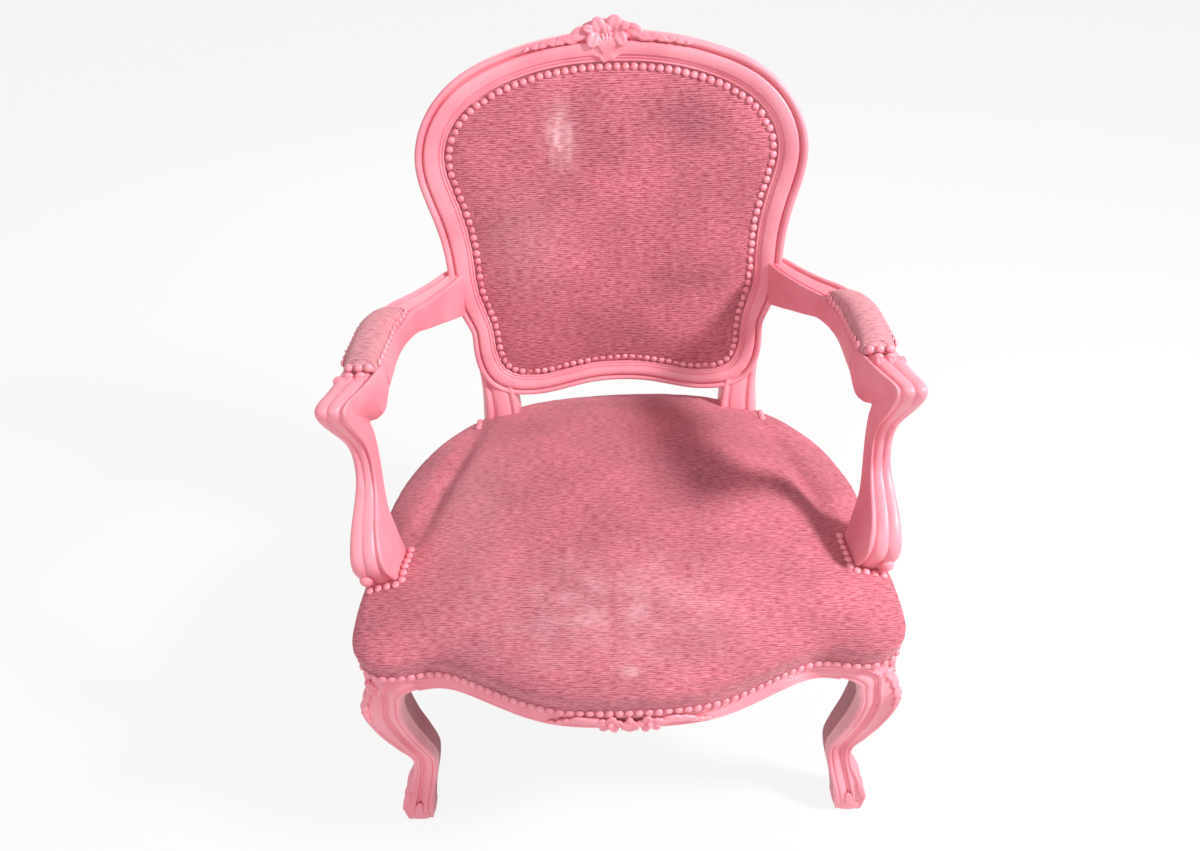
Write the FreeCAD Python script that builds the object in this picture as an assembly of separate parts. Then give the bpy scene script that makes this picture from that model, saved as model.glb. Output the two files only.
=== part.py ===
"""A carved and moulded open armchair with a hollowed back, in millimetres.

The seat is a horseshoe in plan with a serpentine front. Its frame is one moulded ring, cut at the
joints into legs, rails and post blocks. The back is a moulded cartouche that leans and is hollow in
plan. Left and right are as a person in front of the chair sees them: right is +X, front is -Y.
The origin is on the floor, in the middle of the chair's box.
"""
import FreeCAD, Part

import math
import os

# Seat frame in plan
SEAT_HALF_WIDTH = 306.0      # rail face at the front corners
SEAT_FRONT_Y = -299.0        # rail face at the middle of the front bow
SEAT_REAR_Y = 222.0          # rail face at the middle of the rear bow
FRONT_BOW = 57.0             # how far the middle stands before the two hollows
HOLLOW_X = 222.0             # where the hollows lie
BOW_FULLNESS = 1.6           # higher is a flatter middle
EAR_X = 260.0                # the front face swells again at each leg
EAR_SWELL = 6.0
CORNER_X = 300.0             # rounding of the corner over the leg
CORNER_Y = -231.0
SHOULDER_Y = -200.0          # where the straight run of the side starts
SIDE_TAPER = 7.0             # the sides close in towards the back
BEND_Y = -15.0               # where the rear bend starts
QUARTER_X = 262.0            # a point of the rear bend
QUARTER_Y = 102.0
REAR_CORNER_X = 190.0        # rear bend at the post
REAR_CORNER_Y = 180.0

# Seat frame in height
RAIL_BOTTOM_Z = 312.0
RAIL_TOP_Z = 352.0
RAIL_WIDTH = 38.0
MOULDING_TOP_Z = 335.0
BEAD_STAND = 5.0             # how far the rail's moulding stands before its tacking face
GROOVE_DEPTH = 3.0

# Joints of the seat frame
FRONT_JOINT_X = 240.0
SIDE_JOINT_Y = -165.0
POST_JOINT_Y = 135.0
REAR_JOINT_X = 140.0
TENON_LENGTH = 22.0
TENON_THICKNESS = 10.0
TENON_HEIGHT = 24.0
TENON_CLEARANCE = 0.15
PEG_RADIUS = 3.0
PEG_CLEARANCE = 0.08
PEG_COVER = 6.0              # wood left over the end of a peg

# Front legs: height, outer corner, side of the section
KNEE_X = 317.0
KNEE_Y = -240.0
LEG_SPLAY = 0.85             # how far the curve moves in Y for each millimetre in X
LEG_CURVE = [
    (334.0, 309.5, 52.0), (296.0, 314.0, 51.0), (256.0, 317.0, 46.0), (205.0, 309.0, 41.5),
    (157.0, 297.0, 37.0), (115.0, 286.0, 31.0), (84.0, 289.5, 31.0), (40.0, 308.5, 40.0),
    (0.0, 308.0, 33.0)]
ARCH_RADIUS = 31.0
LEG_QUIRK = 1.8

# Back: lean, hollow and the sight line where the cover meets the wood
BACK_Y = 197.0
BACK_Z = 430.0
BACK_LEAN = 0.171
BACK_HOLLOW_RADIUS = 1250.0
SIGHT_HALF_WIDTH = 211.0
SIGHT_BOTTOM_Z = 456.0
SIGHT_HEIGHT = 394.0
# Shares of the half width and of the height, and the width of the frame's face there
SIGHT_LINE = [
    (0.00, 0.000, 27.5), (0.23, -0.008, 28.0), (0.44, -0.030, 28.0), (0.61, -0.034, 29.0),
    (0.75, -0.003, 33.0), (0.805, 0.062, 31.0), (0.82, 0.160, 29.0), (0.88, 0.285, 34.0),
    (0.895, 0.430, 36.0), (0.96, 0.625, 37.0), (1.00, 0.740, 36.0), (0.945, 0.830, 35.0),
    (0.80, 0.905, 35.0), (0.59, 0.956, 33.0), (0.31, 0.990, 33.0), (0.00, 1.000, 34.0)]
FRAME_DEPTH = 26.0           # wood behind the rebate
LEDGE = 12.0                 # rebate that carries the canvas and the cover
REBATE = 4.0
BAND_RISE = 8.0              # height of the moulding over the sight line
CREST_JOINT = 10.45          # places of the joints, counted along the sight line
BOTTOM_JOINT = 3.1
TONGUE_REACH = 26.0          # tenons of the back frame, along its run
TONGUE_ROOT = 8.0
TONGUE_WIDTH = 16.0
TONGUE_THICKNESS = 10.0
TONGUE_DEPTH = 9.0           # middle of the tenon behind the sight line

# Back posts below the frame: height, centre x, front y, width, depth
POST_CURVE = [
    (0.0, 211.0, 274.0, 30.0, 33.0), (95.0, 198.0, 230.0, 33.0, 36.0),
    (200.0, 184.0, 187.0, 39.0, 41.0), (290.0, 174.5, 158.0, 47.5, 43.5),
    (345.0, 171.0, 154.0, 50.0, 43.5), (410.0, 171.5, 173.0, 45.0, 37.0),
    (455.0, 180.0, 189.0, 36.0, 31.0), (500.0, 187.0, 198.0, 22.0, 24.0)]
POST_DEPTH = 44.0            # at the seat
POST_FLARE = 9.0             # the outer side opens towards the rear

# Arms: centre x, y, z, width, height at stations from the post to the knuckle
ARM_CURVE = [
    (219.0, 212.0, 573.0, 30.0, 62.0), (231.0, 178.0, 578.0, 34.0, 52.0),
    (250.0, 138.0, 588.0, 39.0, 41.0), (270.0, 100.0, 597.0, 44.0, 33.0),
    (283.0, 40.0, 603.0, 47.0, 30.0), (283.0, -30.0, 603.0, 45.0, 35.0),
    (285.0, -56.0, 595.0, 40.0, 55.0)]
ARM_BEAD = 5.0

# Arm supports: front edge (y, z), rear edge (y, z), inner x, outer x, from the knuckle down
KNUCKLE = (-126.0, 622.0, -57.0, 558.0, 284.0, 318.0)
SUPPORT_CURVE = [
    (-108.0, 583.0, -53.0, 552.0, 286.0, 315.0), (-82.0, 543.0, -44.5, 533.0, 287.5, 312.5),
    (-75.0, 512.0, -43.0, 512.0, 288.0, 312.0), (-88.0, 482.0, -50.0, 490.0, 287.0, 312.0),
    (-143.0, 449.0, -81.0, 450.0, 280.0, 314.0), (-162.0, 424.0, -92.0, 424.0, 273.0, 314.0),
    (-152.0, 390.0, -97.0, 388.0, 266.5, 312.0), (-140.0, 352.15, -92.0, 352.15, 264.0, 309.0)]
SUPPORT_TENON = 20.0

# Upholstery
CLOTH = 2.4
SOFT_CLEARANCE = 0.3
SEAT_CROWN_Z = 432.0
SEAT_MIDDLE_Y = -40.0        # the crown of the seat
SEAT_ROUNDING = 1.5          # how soon the seat turns from a horseshoe to an oval as it rises
COVER_HEM_Z = 336.5
# Shape of the seat: share of the rise over the rails, growth of the plan, share of the way to the crown
SEAT_DOME = [(0.10, 6.0, 0.0), (0.27, 7.5, 0.0), (0.38, 2.0, 0.02), (0.55, 0.0, 0.15),
             (0.75, 0.0, 0.35), (0.92, 0.0, 0.62), (1.0, 0.0, 0.88)]
BACK_CROWN = 18.0
BACK_ROLL = 4.0              # higher rolls over more quickly at the edge
BACK_CENTRE_Z = 655.0
STUFFING_INSET = 20.0        # from the sight line to the stuffing
STUFFING_SHARE = 0.9         # the same, as a share of the way out
STUFFING_GAP = 2.2           # from the canvas and the cover to the stuffing
BACK_EDGE = 1.2              # from the sight line to the cover
CANVAS_LEVEL = -2.6          # front of the canvas over the face of the sight line
CANVAS_THICKNESS = 1.0
CANVAS_INSET = 5.0
OUTER_COVER_MARGIN = 4.0
OUTER_COVER_GAP = 0.9        # from the rear rebate to the outer cover
OUTER_COVER = 2.0
PAD_REAR_Y = 88.0
PAD_FRONT_Y = -50.0
PAD_WIDTH = 42.0
PAD_HEIGHT = 19.0
PAD_LIFT = 1.5               # from the arm to the pad's hem
PAD_STUFFING_GAP = 1.2
PAD_NAIL_RISE = 4.8          # from the arm to the middle of the nails round its pad
# Fullness of the arm pad: share of its length, share of its width, share of its height
PAD_SHAPE = [(0.0, 0.62, 0.18), (0.05, 0.85, 0.52), (0.16, 0.98, 0.84), (0.42, 1.0, 1.0), (0.72, 1.0, 0.96),
             (0.91, 0.97, 0.72), (1.0, 0.88, 0.26)]
SEAT_LAYER_INSET = 14.0      # from the rail's face to the edge of webbing and hessian
SEAT_STUFFING_GAP = 4.6
LAYER_CLEARANCE = 1.5        # hidden layers clear the posts and supports by this
WEBBING = 50.0
WEBBING_THICKNESS = 1.4
WEBBING_GAP = 0.1
HESSIAN = 1.0
BOTTOM_CLOTH = 0.8

# Fastenings and braces
SCREW_HEAD = 4.5
SCREW_RADIUS = 2.2
SCREW_CLEARANCE = 0.08
SCREW_SINK = 2.0             # how far the hole runs out past the head
ARM_SCREW_SINK = 1.5
BLOCK_Z = 316.0
BLOCK_HEIGHT = 30.0
BLOCK_REACH = 34.0
BLOCK_SCREW = 58.0

# Nails and tacks
NAIL_RADIUS = 4.7
NAIL_HEIGHT = 3.2
NAIL_PITCH = 10.6
NAIL_SEAT = 0.2             # hair gap between a nail head and the cloth
NAIL_INSET = 5.6             # from the sight line to the nails of the back
NAIL_LINE_Z = 341.0          # height of the nails along the rails
TACK_RADIUS = 2.6
TACK_HEIGHT = 1.2
TACK_PITCH = 34.0


def vec(x, y, z):
    return FreeCAD.Vector(x, y, z)


def polygon(points):
    return Part.makePolygon(points + [points[0]])


def loft(wires):
    """A solid with straight strips from each wire to the next."""
    return Part.makeLoft(wires, True, True)


def closed_spline(points):
    curve = Part.BSplineCurve()
    curve.interpolate(Points=points, PeriodicFlag=True)
    return curve


def arc_wire(points):
    """A closed run of arcs, one from each point to the next, that follow a smooth curve."""
    curve = closed_spline(points)
    marks = [curve.parameter(point) for point in points]
    marks[0] = curve.FirstParameter
    marks.append(curve.LastParameter)
    arcs = []
    for index, start in enumerate(points):
        middle = curve.value((marks[index] + marks[index + 1]) / 2)
        end = points[(index + 1) % len(points)]
        arcs.append(Part.Arc(start, middle, end).toShape())
    return Part.Wire(arcs)


def soft_outline(points, per_span):
    """Corners of short straight steps along a smooth closed curve, for soft pieces."""
    curve = closed_spline(points)
    marks = [curve.parameter(point) for point in points]
    marks[0] = curve.FirstParameter
    marks.append(curve.LastParameter)
    corners = []
    for start, end in zip(marks, marks[1:]):
        corners += [curve.value(blend(start, end, step / per_span)) for step in range(per_span)]
    return corners


def skinned(rings):
    """A closed solid of flat facets over rings of points, with a fan at each end."""
    count = len(rings[0])
    facets = []
    for lower, upper in zip(rings, rings[1:]):
        for index in range(count):
            after = (index + 1) % count
            facets.append((lower[index], lower[after], upper[after]))
            facets.append((lower[index], upper[after], upper[index]))
    for ring in (rings[0], rings[-1]):
        middle = sum(ring, vec(0, 0, 0)) * (1 / count)
        facets += [(ring[index], ring[(index + 1) % count], middle) for index in range(count)]
    solid = Part.makeSolid(Part.makeShell([Part.Face(polygon(list(corners))) for corners in facets]))
    return solid if solid.Volume > 0 else solid.reversed()


def fair(rows, per_span):
    """More rows of sizes between the given ones, on smooth curves through them."""
    def distance(a, b):
        return math.dist(a[:3], b[:3])

    ends = [rows[0]] + list(rows) + [rows[-1]]
    result = [rows[0]]
    for before, start, end, after in zip(ends, ends[1:], ends[2:], ends[3:]):
        span = distance(start, end)
        lead = span / (distance(before, end) or span)
        trail = span / (distance(start, after) or span)
        for step in range(1, per_span + 1):
            t = step / per_span
            row = []
            for p, a, b, q in zip(before, start, end, after):
                slope_a, slope_b = (b - p) * lead, (q - a) * trail
                row.append(a + t * slope_a + t * t * (3 * (b - a) - 2 * slope_a - slope_b)
                           + t ** 3 * (slope_a + slope_b - 2 * (b - a)))
            result.append(tuple(row))
    return result


def mirrored(shape):
    return shape.mirror(vec(0, 0, 0), vec(1, 0, 0))


def both_sides(shape):
    return [shape, mirrored(shape)]


def box(x0, x1, y0, y1, z0, z1):
    corner = vec(min(x0, x1), min(y0, y1), min(z0, z1))
    return Part.makeBox(abs(x1 - x0), abs(y1 - y0), abs(z1 - z0), corner)


def blend(a, b, share):
    return a + (b - a) * share


# Seat plan

def front_line(x):
    """Rail face along the bow, between the two hollows."""
    share = min(abs(x) / HOLLOW_X, 1.0) ** BOW_FULLNESS
    return SEAT_FRONT_Y + FRONT_BOW * math.sin(math.pi / 2 * share) ** 2


def half_plan():
    """Points of the right half of the rail face, from the front middle to the rear middle."""
    hollow_y = SEAT_FRONT_Y + FRONT_BOW
    points = [(x, front_line(x)) for x in (0.0, HOLLOW_X * 0.42, HOLLOW_X * 0.76)]
    points += [(HOLLOW_X, hollow_y), (EAR_X, hollow_y - EAR_SWELL), (CORNER_X - 4.0, CORNER_Y - 5.0),
               (SEAT_HALF_WIDTH, SHOULDER_Y), (SEAT_HALF_WIDTH - SIDE_TAPER / 2, (SHOULDER_Y + BEND_Y) / 2),
               (SEAT_HALF_WIDTH - SIDE_TAPER, BEND_Y), (QUARTER_X, QUARTER_Y),
               (REAR_CORNER_X, REAR_CORNER_Y), (0.0, SEAT_REAR_Y)]
    return points


def plan_points():
    right = half_plan()
    left = [(-x, y) for x, y in reversed(right[1:-1])]
    return right + left


def grown(points, amount):
    """The outline moved outwards by an amount, along the bisector at each point."""
    result = []
    count = len(points)
    for index, (x, y) in enumerate(points):
        ax, ay = points[index - 1]
        bx, by = points[(index + 1) % count]
        length = math.hypot(bx - ax, by - ay)
        result.append((x + (by - ay) / length * amount, y - (bx - ax) / length * amount))
    return result


def plan_wire(amount, z):
    return arc_wire([vec(x, y, z) for x, y in grown(plan_points(), amount)])


def plan_prism(amount, z0, z1):
    return Part.Face(plan_wire(amount, z0)).extrude(vec(0, 0, z1 - z0))


def inner_prism(gap, z0, z1):
    """The space inside the rails, less a gap: a plainer outline than the shown face."""
    right = [(0.0, SEAT_FRONT_Y), (HOLLOW_X * 0.6, front_line(HOLLOW_X * 0.6)),
             (HOLLOW_X, SEAT_FRONT_Y + FRONT_BOW), (SEAT_HALF_WIDTH - 12.0, CORNER_Y + 4.0),
             (SEAT_HALF_WIDTH, SHOULDER_Y + 30.0), (SEAT_HALF_WIDTH - SIDE_TAPER, BEND_Y),
             (QUARTER_X, QUARTER_Y), (REAR_CORNER_X, REAR_CORNER_Y), (0.0, SEAT_REAR_Y)]
    left = [(-x, y) for x, y in reversed(right[1:-1])]
    points = [vec(x, y, z0) for x, y in grown(right + left, -RAIL_WIDTH - gap)]
    return Part.Face(arc_wire(points)).extrude(vec(0, 0, z1 - z0))


def seat_ring():
    """The whole moulded seat frame, before it is cut at its joints."""
    bead = BEAD_STAND
    levels = [
        (RAIL_BOTTOM_Z, bead - 2.0), (RAIL_BOTTOM_Z + 6.0, bead), (RAIL_BOTTOM_Z + 9.5, bead - GROOVE_DEPTH),
        (RAIL_BOTTOM_Z + 12.5, bead - 0.4), (MOULDING_TOP_Z - 1.5, bead - 0.8), (MOULDING_TOP_Z, 0.0),
        (RAIL_TOP_Z, 0.0)]
    outside = loft([plan_wire(amount, z) for z, amount in levels])
    return outside.cut(inner_prism(0.0, RAIL_BOTTOM_Z - 5.0, RAIL_TOP_Z + 5.0))


def rail_middle_z():
    return (RAIL_BOTTOM_Z + RAIL_TOP_Z) / 2


def tenon(x0, x1, y0, y1, clearance=0.0):
    """A tenon in a rail, or with a clearance, its mortise."""
    half = TENON_HEIGHT / 2 + clearance
    middle = rail_middle_z()
    return box(min(x0, x1) - clearance, max(x0, x1) + clearance,
               min(y0, y1) - clearance, max(y0, y1) + clearance, middle - half, middle + half)


def ring_middle_x(y):
    """Middle of the right side rail at a depth y."""
    line = Part.makeLine(vec(0, y, RAIL_TOP_Z), vec(2 * SEAT_HALF_WIDTH, y, RAIL_TOP_Z))
    face = Part.Face(plan_wire(-RAIL_WIDTH / 2, RAIL_TOP_Z))
    return line.common(face).BoundBox.XMax


def ring_middle_y(x, rear):
    """Middle of the front or rear rail at a place x."""
    line = Part.makeLine(vec(x, 2 * SEAT_FRONT_Y, RAIL_TOP_Z), vec(x, 2 * SEAT_REAR_Y, RAIL_TOP_Z))
    cut = line.common(Part.Face(plan_wire(-RAIL_WIDTH / 2, RAIL_TOP_Z))).BoundBox
    return cut.YMax if rear else cut.YMin


def seat_tenons(clearance=0.0):
    """Front, side front, side rear and rear tenons of the right half."""
    half = TENON_THICKNESS / 2
    reach = TENON_LENGTH
    root = 6.0
    front_y = ring_middle_y(FRONT_JOINT_X + reach / 2, False)
    side_x = ring_middle_x(SIDE_JOINT_Y)
    rear_x = ring_middle_x(POST_JOINT_Y + reach / 2)
    back_y = ring_middle_y(REAR_JOINT_X + reach / 2, True)
    return [
        tenon(FRONT_JOINT_X - root, FRONT_JOINT_X + reach, front_y - half, front_y + half, clearance),
        tenon(side_x - half, side_x + half, SIDE_JOINT_Y - reach, SIDE_JOINT_Y + root, clearance),
        tenon(rear_x - half, rear_x + half, POST_JOINT_Y - root, POST_JOINT_Y + reach, clearance),
        tenon(REAR_JOINT_X - root, REAR_JOINT_X + reach, back_y - half, back_y + half, clearance)]


def eight_sided(radius, z):
    turns = [turn * math.tau / 8 for turn in range(8)]
    return polygon([vec(radius * math.cos(turn), radius * math.sin(turn), z) for turn in turns])


def riven_peg(foot, direction, length, clearance=0.0):
    """An eight-sided peg, or with a clearance, the hole it fills."""
    peg = Part.Face(eight_sided(PEG_RADIUS + clearance, 0)).extrude(vec(0, 0, length))
    peg.Placement = FreeCAD.Placement(foot, FreeCAD.Rotation(vec(0, 0, 1), direction))
    return peg


def peg_hole(foot, direction, length):
    return riven_peg(foot, direction, length + PEG_CLEARANCE, PEG_CLEARANCE)


def seat_pegs(make):
    """The upright peg, or its hole, through each tenon of the right half, driven from below."""
    pegs = []
    for shape in seat_tenons():
        bounds = shape.BoundBox
        along_x = bounds.XLength > bounds.YLength
        share = 0.62
        x = bounds.XMin + bounds.XLength * (share if along_x else 0.5)
        forward = bounds.YMin < SIDE_JOINT_Y
        y = bounds.YMin + bounds.YLength * (0.5 if along_x else (1 - share if forward else share))
        pegs.append(make(vec(x, y, RAIL_BOTTOM_Z), vec(0, 0, 1), RAIL_TOP_Z - RAIL_BOTTOM_Z - PEG_COVER))
    return pegs


# Front leg

def leg_section(z, outer_x, side):
    """A square with its front and outer faces moulded about a ridge on the outer corner."""
    outer_y = KNEE_Y + LEG_SPLAY * (KNEE_X - outer_x)
    face = [(0.86, 0.0), (0.79, LEG_QUIRK), (0.72, 0.2), (0.24, LEG_QUIRK)]
    front = [(along * side, deep) for along, deep in face]
    ridge = [(0.06 * side, 0.06 * side)]
    flank = [(deep, along) for along, deep in reversed(front)]
    points = [(side, side), (side, 2.0)] + front + ridge + flank + [(2.0, side)]
    return polygon([vec(outer_x - across, outer_y + back, z) for across, back in points])


def front_leg(ring):
    curve = loft([leg_section(*row) for row in reversed(fair(LEG_CURVE, 2))])
    corner = ring.common(box(FRONT_JOINT_X, 400, -400, SIDE_JOINT_Y, 0, 500))
    web_z = RAIL_BOTTOM_Z - ARCH_RADIUS
    web = plan_prism(-0.5, web_z, RAIL_BOTTOM_Z + 4.0).cut(inner_prism(0.0, web_z - 1, RAIL_TOP_Z))
    web = web.common(box(FRONT_JOINT_X, 400, -400, SIDE_JOINT_Y, 0, 500))
    front_arch = Part.makeCylinder(ARCH_RADIUS, 400, vec(FRONT_JOINT_X, -400, web_z), vec(0, 1, 0))
    side_arch = Part.makeCylinder(ARCH_RADIUS, 400, vec(100, SIDE_JOINT_Y, web_z), vec(1, 0, 0))
    web = web.cut(front_arch).cut(side_arch)
    leg = curve.fuse([corner, web])
    for mortise in seat_tenons(TENON_CLEARANCE)[:2]:
        leg = leg.cut(mortise)
    for hole in seat_pegs(peg_hole)[:2]:
        leg = leg.cut(hole)
    return leg.cut(block_screw(True, SCREW_CLEARANCE)).removeSplitter()


# Rails

def front_rail(ring):
    rail = ring.common(box(-FRONT_JOINT_X, FRONT_JOINT_X, -400, 0, 0, 500))
    right = seat_tenons()[0]
    rail = rail.fuse([right, mirrored(right), carved_group()])
    hole = seat_pegs(peg_hole)[0]
    return rail.cut(hole).cut(mirrored(hole)).removeSplitter()


def carved_group():
    """The outline of the carving at the middle of the front rail, cut from the bow's own line."""
    half, drop, stand = 62.0, 16.0, 5.0
    top = MOULDING_TOP_Z - 3.0
    lobes = [(-half, top - 9), (-46, RAIL_BOTTOM_Z - 1), (-26, RAIL_BOTTOM_Z - 8), (-14, RAIL_BOTTOM_Z - drop),
             (0, RAIL_BOTTOM_Z - drop + 4)]
    curve_points = [vec(x, SEAT_FRONT_Y, z) for x, z in lobes]
    curve_points += [vec(-p.x, p.y, p.z) for p in reversed(curve_points[:-1])]
    lower = Part.BSplineCurve()
    lower.interpolate(curve_points)
    upper = Part.Arc(curve_points[-1], vec(0, SEAT_FRONT_Y, top), curve_points[0])
    face = Part.Face(Part.Wire([lower.toShape(), upper.toShape()]))
    block = face.extrude(vec(0, 60, 0))
    block.translate(vec(0, -20, 0))
    skin = plan_prism(BEAD_STAND + stand, RAIL_BOTTOM_Z - drop - 5, RAIL_TOP_Z)
    skin = skin.cut(plan_prism(-12.0, RAIL_BOTTOM_Z - drop - 6, RAIL_TOP_Z + 1))
    return block.common(skin)


def side_rail(ring):
    rail = ring.common(box(0, 400, SIDE_JOINT_Y, POST_JOINT_Y, 0, 500))
    tenons = seat_tenons()
    rail = rail.fuse([tenons[1], tenons[2]])
    for hole in seat_pegs(peg_hole)[1:3]:
        rail = rail.cut(hole)
    return rail.cut(support_tenon(TENON_CLEARANCE)).cut(support_screw(SCREW_CLEARANCE)).removeSplitter()


def rear_rail(ring):
    rail = ring.common(box(-REAR_JOINT_X, REAR_JOINT_X, 0, 400, 0, 500))
    right = seat_tenons()[3]
    rail = rail.fuse([right, mirrored(right)])
    hole = seat_pegs(peg_hole)[3]
    return rail.cut(hole).cut(mirrored(hole)).removeSplitter()


# Back frame

def back_face_y(x, z):
    """Where the sight line lies in depth: a leaning plane, hollow across."""
    return BACK_Y + (z - BACK_Z) * BACK_LEAN - x * x / (2 * BACK_HOLLOW_RADIUS)


def lean_vectors():
    """Unit vectors to the front of the back and up along it."""
    length = math.hypot(1.0, BACK_LEAN)
    return vec(0, -1 / length, BACK_LEAN / length), vec(0, BACK_LEAN / length, 1 / length)


def sight_points():
    half = [(share_x * SIGHT_HALF_WIDTH, SIGHT_BOTTOM_Z + share_z * SIGHT_HEIGHT, width)
            for share_x, share_z, width in SIGHT_LINE]
    other = [(-x, z, width) for x, z, width in reversed(half[1:-1])]
    return half + other


def sight_curve():
    return closed_spline([vec(x, 0, z) for x, z, _ in sight_points()])


class SightLine:
    """The sight line as a curve that is counted by its points: 0 at the bottom middle."""

    def __init__(self):
        self.rows = sight_points()
        self.curve = sight_curve()
        self.marks = [self.curve.parameter(vec(x, 0, z)) for x, z, _ in self.rows]
        self.marks[0] = self.curve.FirstParameter
        self.marks.append(self.curve.LastParameter)

    def at(self, count):
        """Point, outward direction and face width at a place along the line."""
        index = math.floor(count) % len(self.rows)
        share = count - math.floor(count)
        mark = blend(self.marks[index], self.marks[index + 1], share)
        point = self.curve.value(mark)
        along = self.curve.tangent(mark)[0]
        outward = vec(along.z, 0, -along.x)
        width = blend(self.rows[index][2], self.rows[(index + 1) % len(self.rows)][2], share)
        return point, outward, width


def frame_profile(width):
    """Moulding of the back frame: (across from the sight line, forward of the rebate's face)."""
    rise = BAND_RISE
    deep = -FRAME_DEPTH
    return [
        (-LEDGE, deep + REBATE), (-LEDGE, -REBATE), (0.0, -REBATE), (0.0, 2.6), (0.20 * width, rise - 0.6),
        (0.64 * width, rise - 0.4), (0.70 * width, rise - 5.6), (0.77 * width, rise - 5.6),
        (0.84 * width, rise - 1.0), (width, rise - 5.0), (width, deep), (0.22 * width, deep),
        (0.22 * width, deep + REBATE)]


def frame_section(line, count):
    point, outward, width = line.at(count)
    front, _ = lean_vectors()
    origin = vec(point.x, back_face_y(point.x, point.z), point.z)
    slope = outward.z * BACK_LEAN - point.x * outward.x / BACK_HOLLOW_RADIUS
    across = vec(outward.x, slope, outward.z)
    corners = [origin + across * s + front * t for s, t in frame_profile(width)]
    return polygon(corners)


def frame_run(line, start, end, steps):
    counts = [blend(start, end, index / steps) for index in range(steps + 1)]
    return loft([frame_section(line, count) for count in counts])


def joint_block(line, count, forward, back, clearance=0.0):
    """A tenon that crosses a joint of the back frame, along the frame's own run."""
    point, outward, width = line.at(count)
    front, _ = lean_vectors()
    slope = outward.z * BACK_LEAN - point.x * outward.x / BACK_HOLLOW_RADIUS
    across = vec(outward.x, slope, outward.z).normalize()
    run = front.cross(across).normalize()
    middle = vec(point.x, back_face_y(point.x, point.z), point.z)
    middle = middle + across * (width * 0.47) - front * TONGUE_DEPTH
    half_w, half_t = TONGUE_WIDTH / 2 + clearance, TONGUE_THICKNESS / 2 + clearance
    corners = [middle + across * a + front * b - run * (back + clearance)
               for a, b in ((-half_w, -half_t), (half_w, -half_t), (half_w, half_t), (-half_w, half_t))]
    return Part.Face(polygon(corners)).extrude(run * (forward + back + 2 * clearance))


def back_peg(line, count, make):
    """The peg, or its hole, from the rear through a joint of the back frame."""
    tongue = joint_block(line, count, TONGUE_REACH, 0.0)
    front, _ = lean_vectors()
    middle = tongue.CenterOfMass
    return make(middle - front * (FRAME_DEPTH - TONGUE_DEPTH), front, FRAME_DEPTH - PEG_COVER)


def post_section(z, x, front_y, width, depth):
    """The post's section: a moulded front, and an outer side that opens to the rear."""
    half = width / 2
    flare = POST_FLARE * depth / POST_DEPTH
    shape = [(-half, depth), (-half, 2.5), (-half * 0.8, 0.0), (-half * 0.62, 0.0), (-half * 0.52, 2.4),
             (-half * 0.42, 0.6), (half * 0.45, 0.4), (half * 0.55, 2.4), (half * 0.66, 0.4),
             (half - 2.0, 2.5), (half - 2.0 + flare, depth)]
    return polygon([vec(x + across, front_y + back, z) for across, back in shape])


def back_post_core():
    return loft([post_section(*row) for row in fair(POST_CURVE, 2)])


def back_post(ring, line):
    stile = frame_run(line, BOTTOM_JOINT, CREST_JOINT, 12)
    block = ring.common(box(REAR_JOINT_X, 400, POST_JOINT_Y, 400, 0, 500))
    post = back_post_core().fuse([stile, block])
    post = post.fuse(joint_block(line, CREST_JOINT, TONGUE_REACH, TONGUE_ROOT))
    post = post.cut(joint_block(line, BOTTOM_JOINT, TONGUE_REACH, TONGUE_ROOT, TENON_CLEARANCE))
    post = post.cut(outer_cover_space(line))
    for count in (BOTTOM_JOINT, CREST_JOINT):
        post = post.cut(back_peg(line, count, peg_hole))
    for mortise in seat_tenons(TENON_CLEARANCE)[2:]:
        post = post.cut(mortise)
    for hole in seat_pegs(peg_hole)[2:]:
        post = post.cut(hole)
    return post.cut(arm_screw(SCREW_CLEARANCE)).cut(block_screw(False, SCREW_CLEARANCE)).removeSplitter()


def crest_rail(line):
    top = len(SIGHT_LINE) - 1
    rail = frame_run(line, CREST_JOINT, 2 * top - CREST_JOINT, 14)
    mortise = joint_block(line, CREST_JOINT, TONGUE_REACH, TONGUE_ROOT, TENON_CLEARANCE)
    hole = back_peg(line, CREST_JOINT, peg_hole)
    for cutter in both_sides(mortise) + both_sides(hole):
        rail = rail.cut(cutter)
    return rail.fuse(crest_carving()).removeSplitter()


def crest_carving():
    """Fan and petals on the crown of the crest: a scalloped outline with a raised face."""
    front, up = lean_vectors()
    crown_z = SIGHT_BOTTOM_Z + SIGHT_HEIGHT
    base = vec(0, back_face_y(0, crown_z), crown_z)
    petals = [(-34, 24), (-30, 33), (-22, 34), (-13, 41), (0, 43), (13, 41), (22, 34), (30, 33), (34, 24)]
    points = [base + vec(x, 0, 0) + up * h - front * 12.0 for x, h in petals]
    edges = []
    for first, last in zip(points, points[1:]):
        middle = (first + last) * 0.5
        bulge = (middle - (base - front * 12.0 + up * 12)).normalize() * 3.0
        edges.append(Part.Arc(first, middle + bulge, last).toShape())
    foot = [base + vec(x, 0, 0) + up * h - front * 12.0 for x, h in ((14, 8), (-14, 8))]
    edges.append(Part.makeLine(points[-1], foot[0]))
    edges.append(Part.makeLine(foot[0], foot[1]))
    edges.append(Part.makeLine(foot[1], points[0]))
    return Part.Face(Part.Wire(edges)).extrude(front * 26.0)


def bottom_rail(line):
    rail = frame_run(line, -BOTTOM_JOINT, BOTTOM_JOINT, 8)
    right = joint_block(line, BOTTOM_JOINT, TONGUE_REACH, TONGUE_ROOT)
    rail = rail.fuse(both_sides(right))
    for hole in both_sides(back_peg(line, BOTTOM_JOINT, peg_hole)):
        rail = rail.cut(hole)
    return rail.removeSplitter()


# Arms and arm supports

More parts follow.
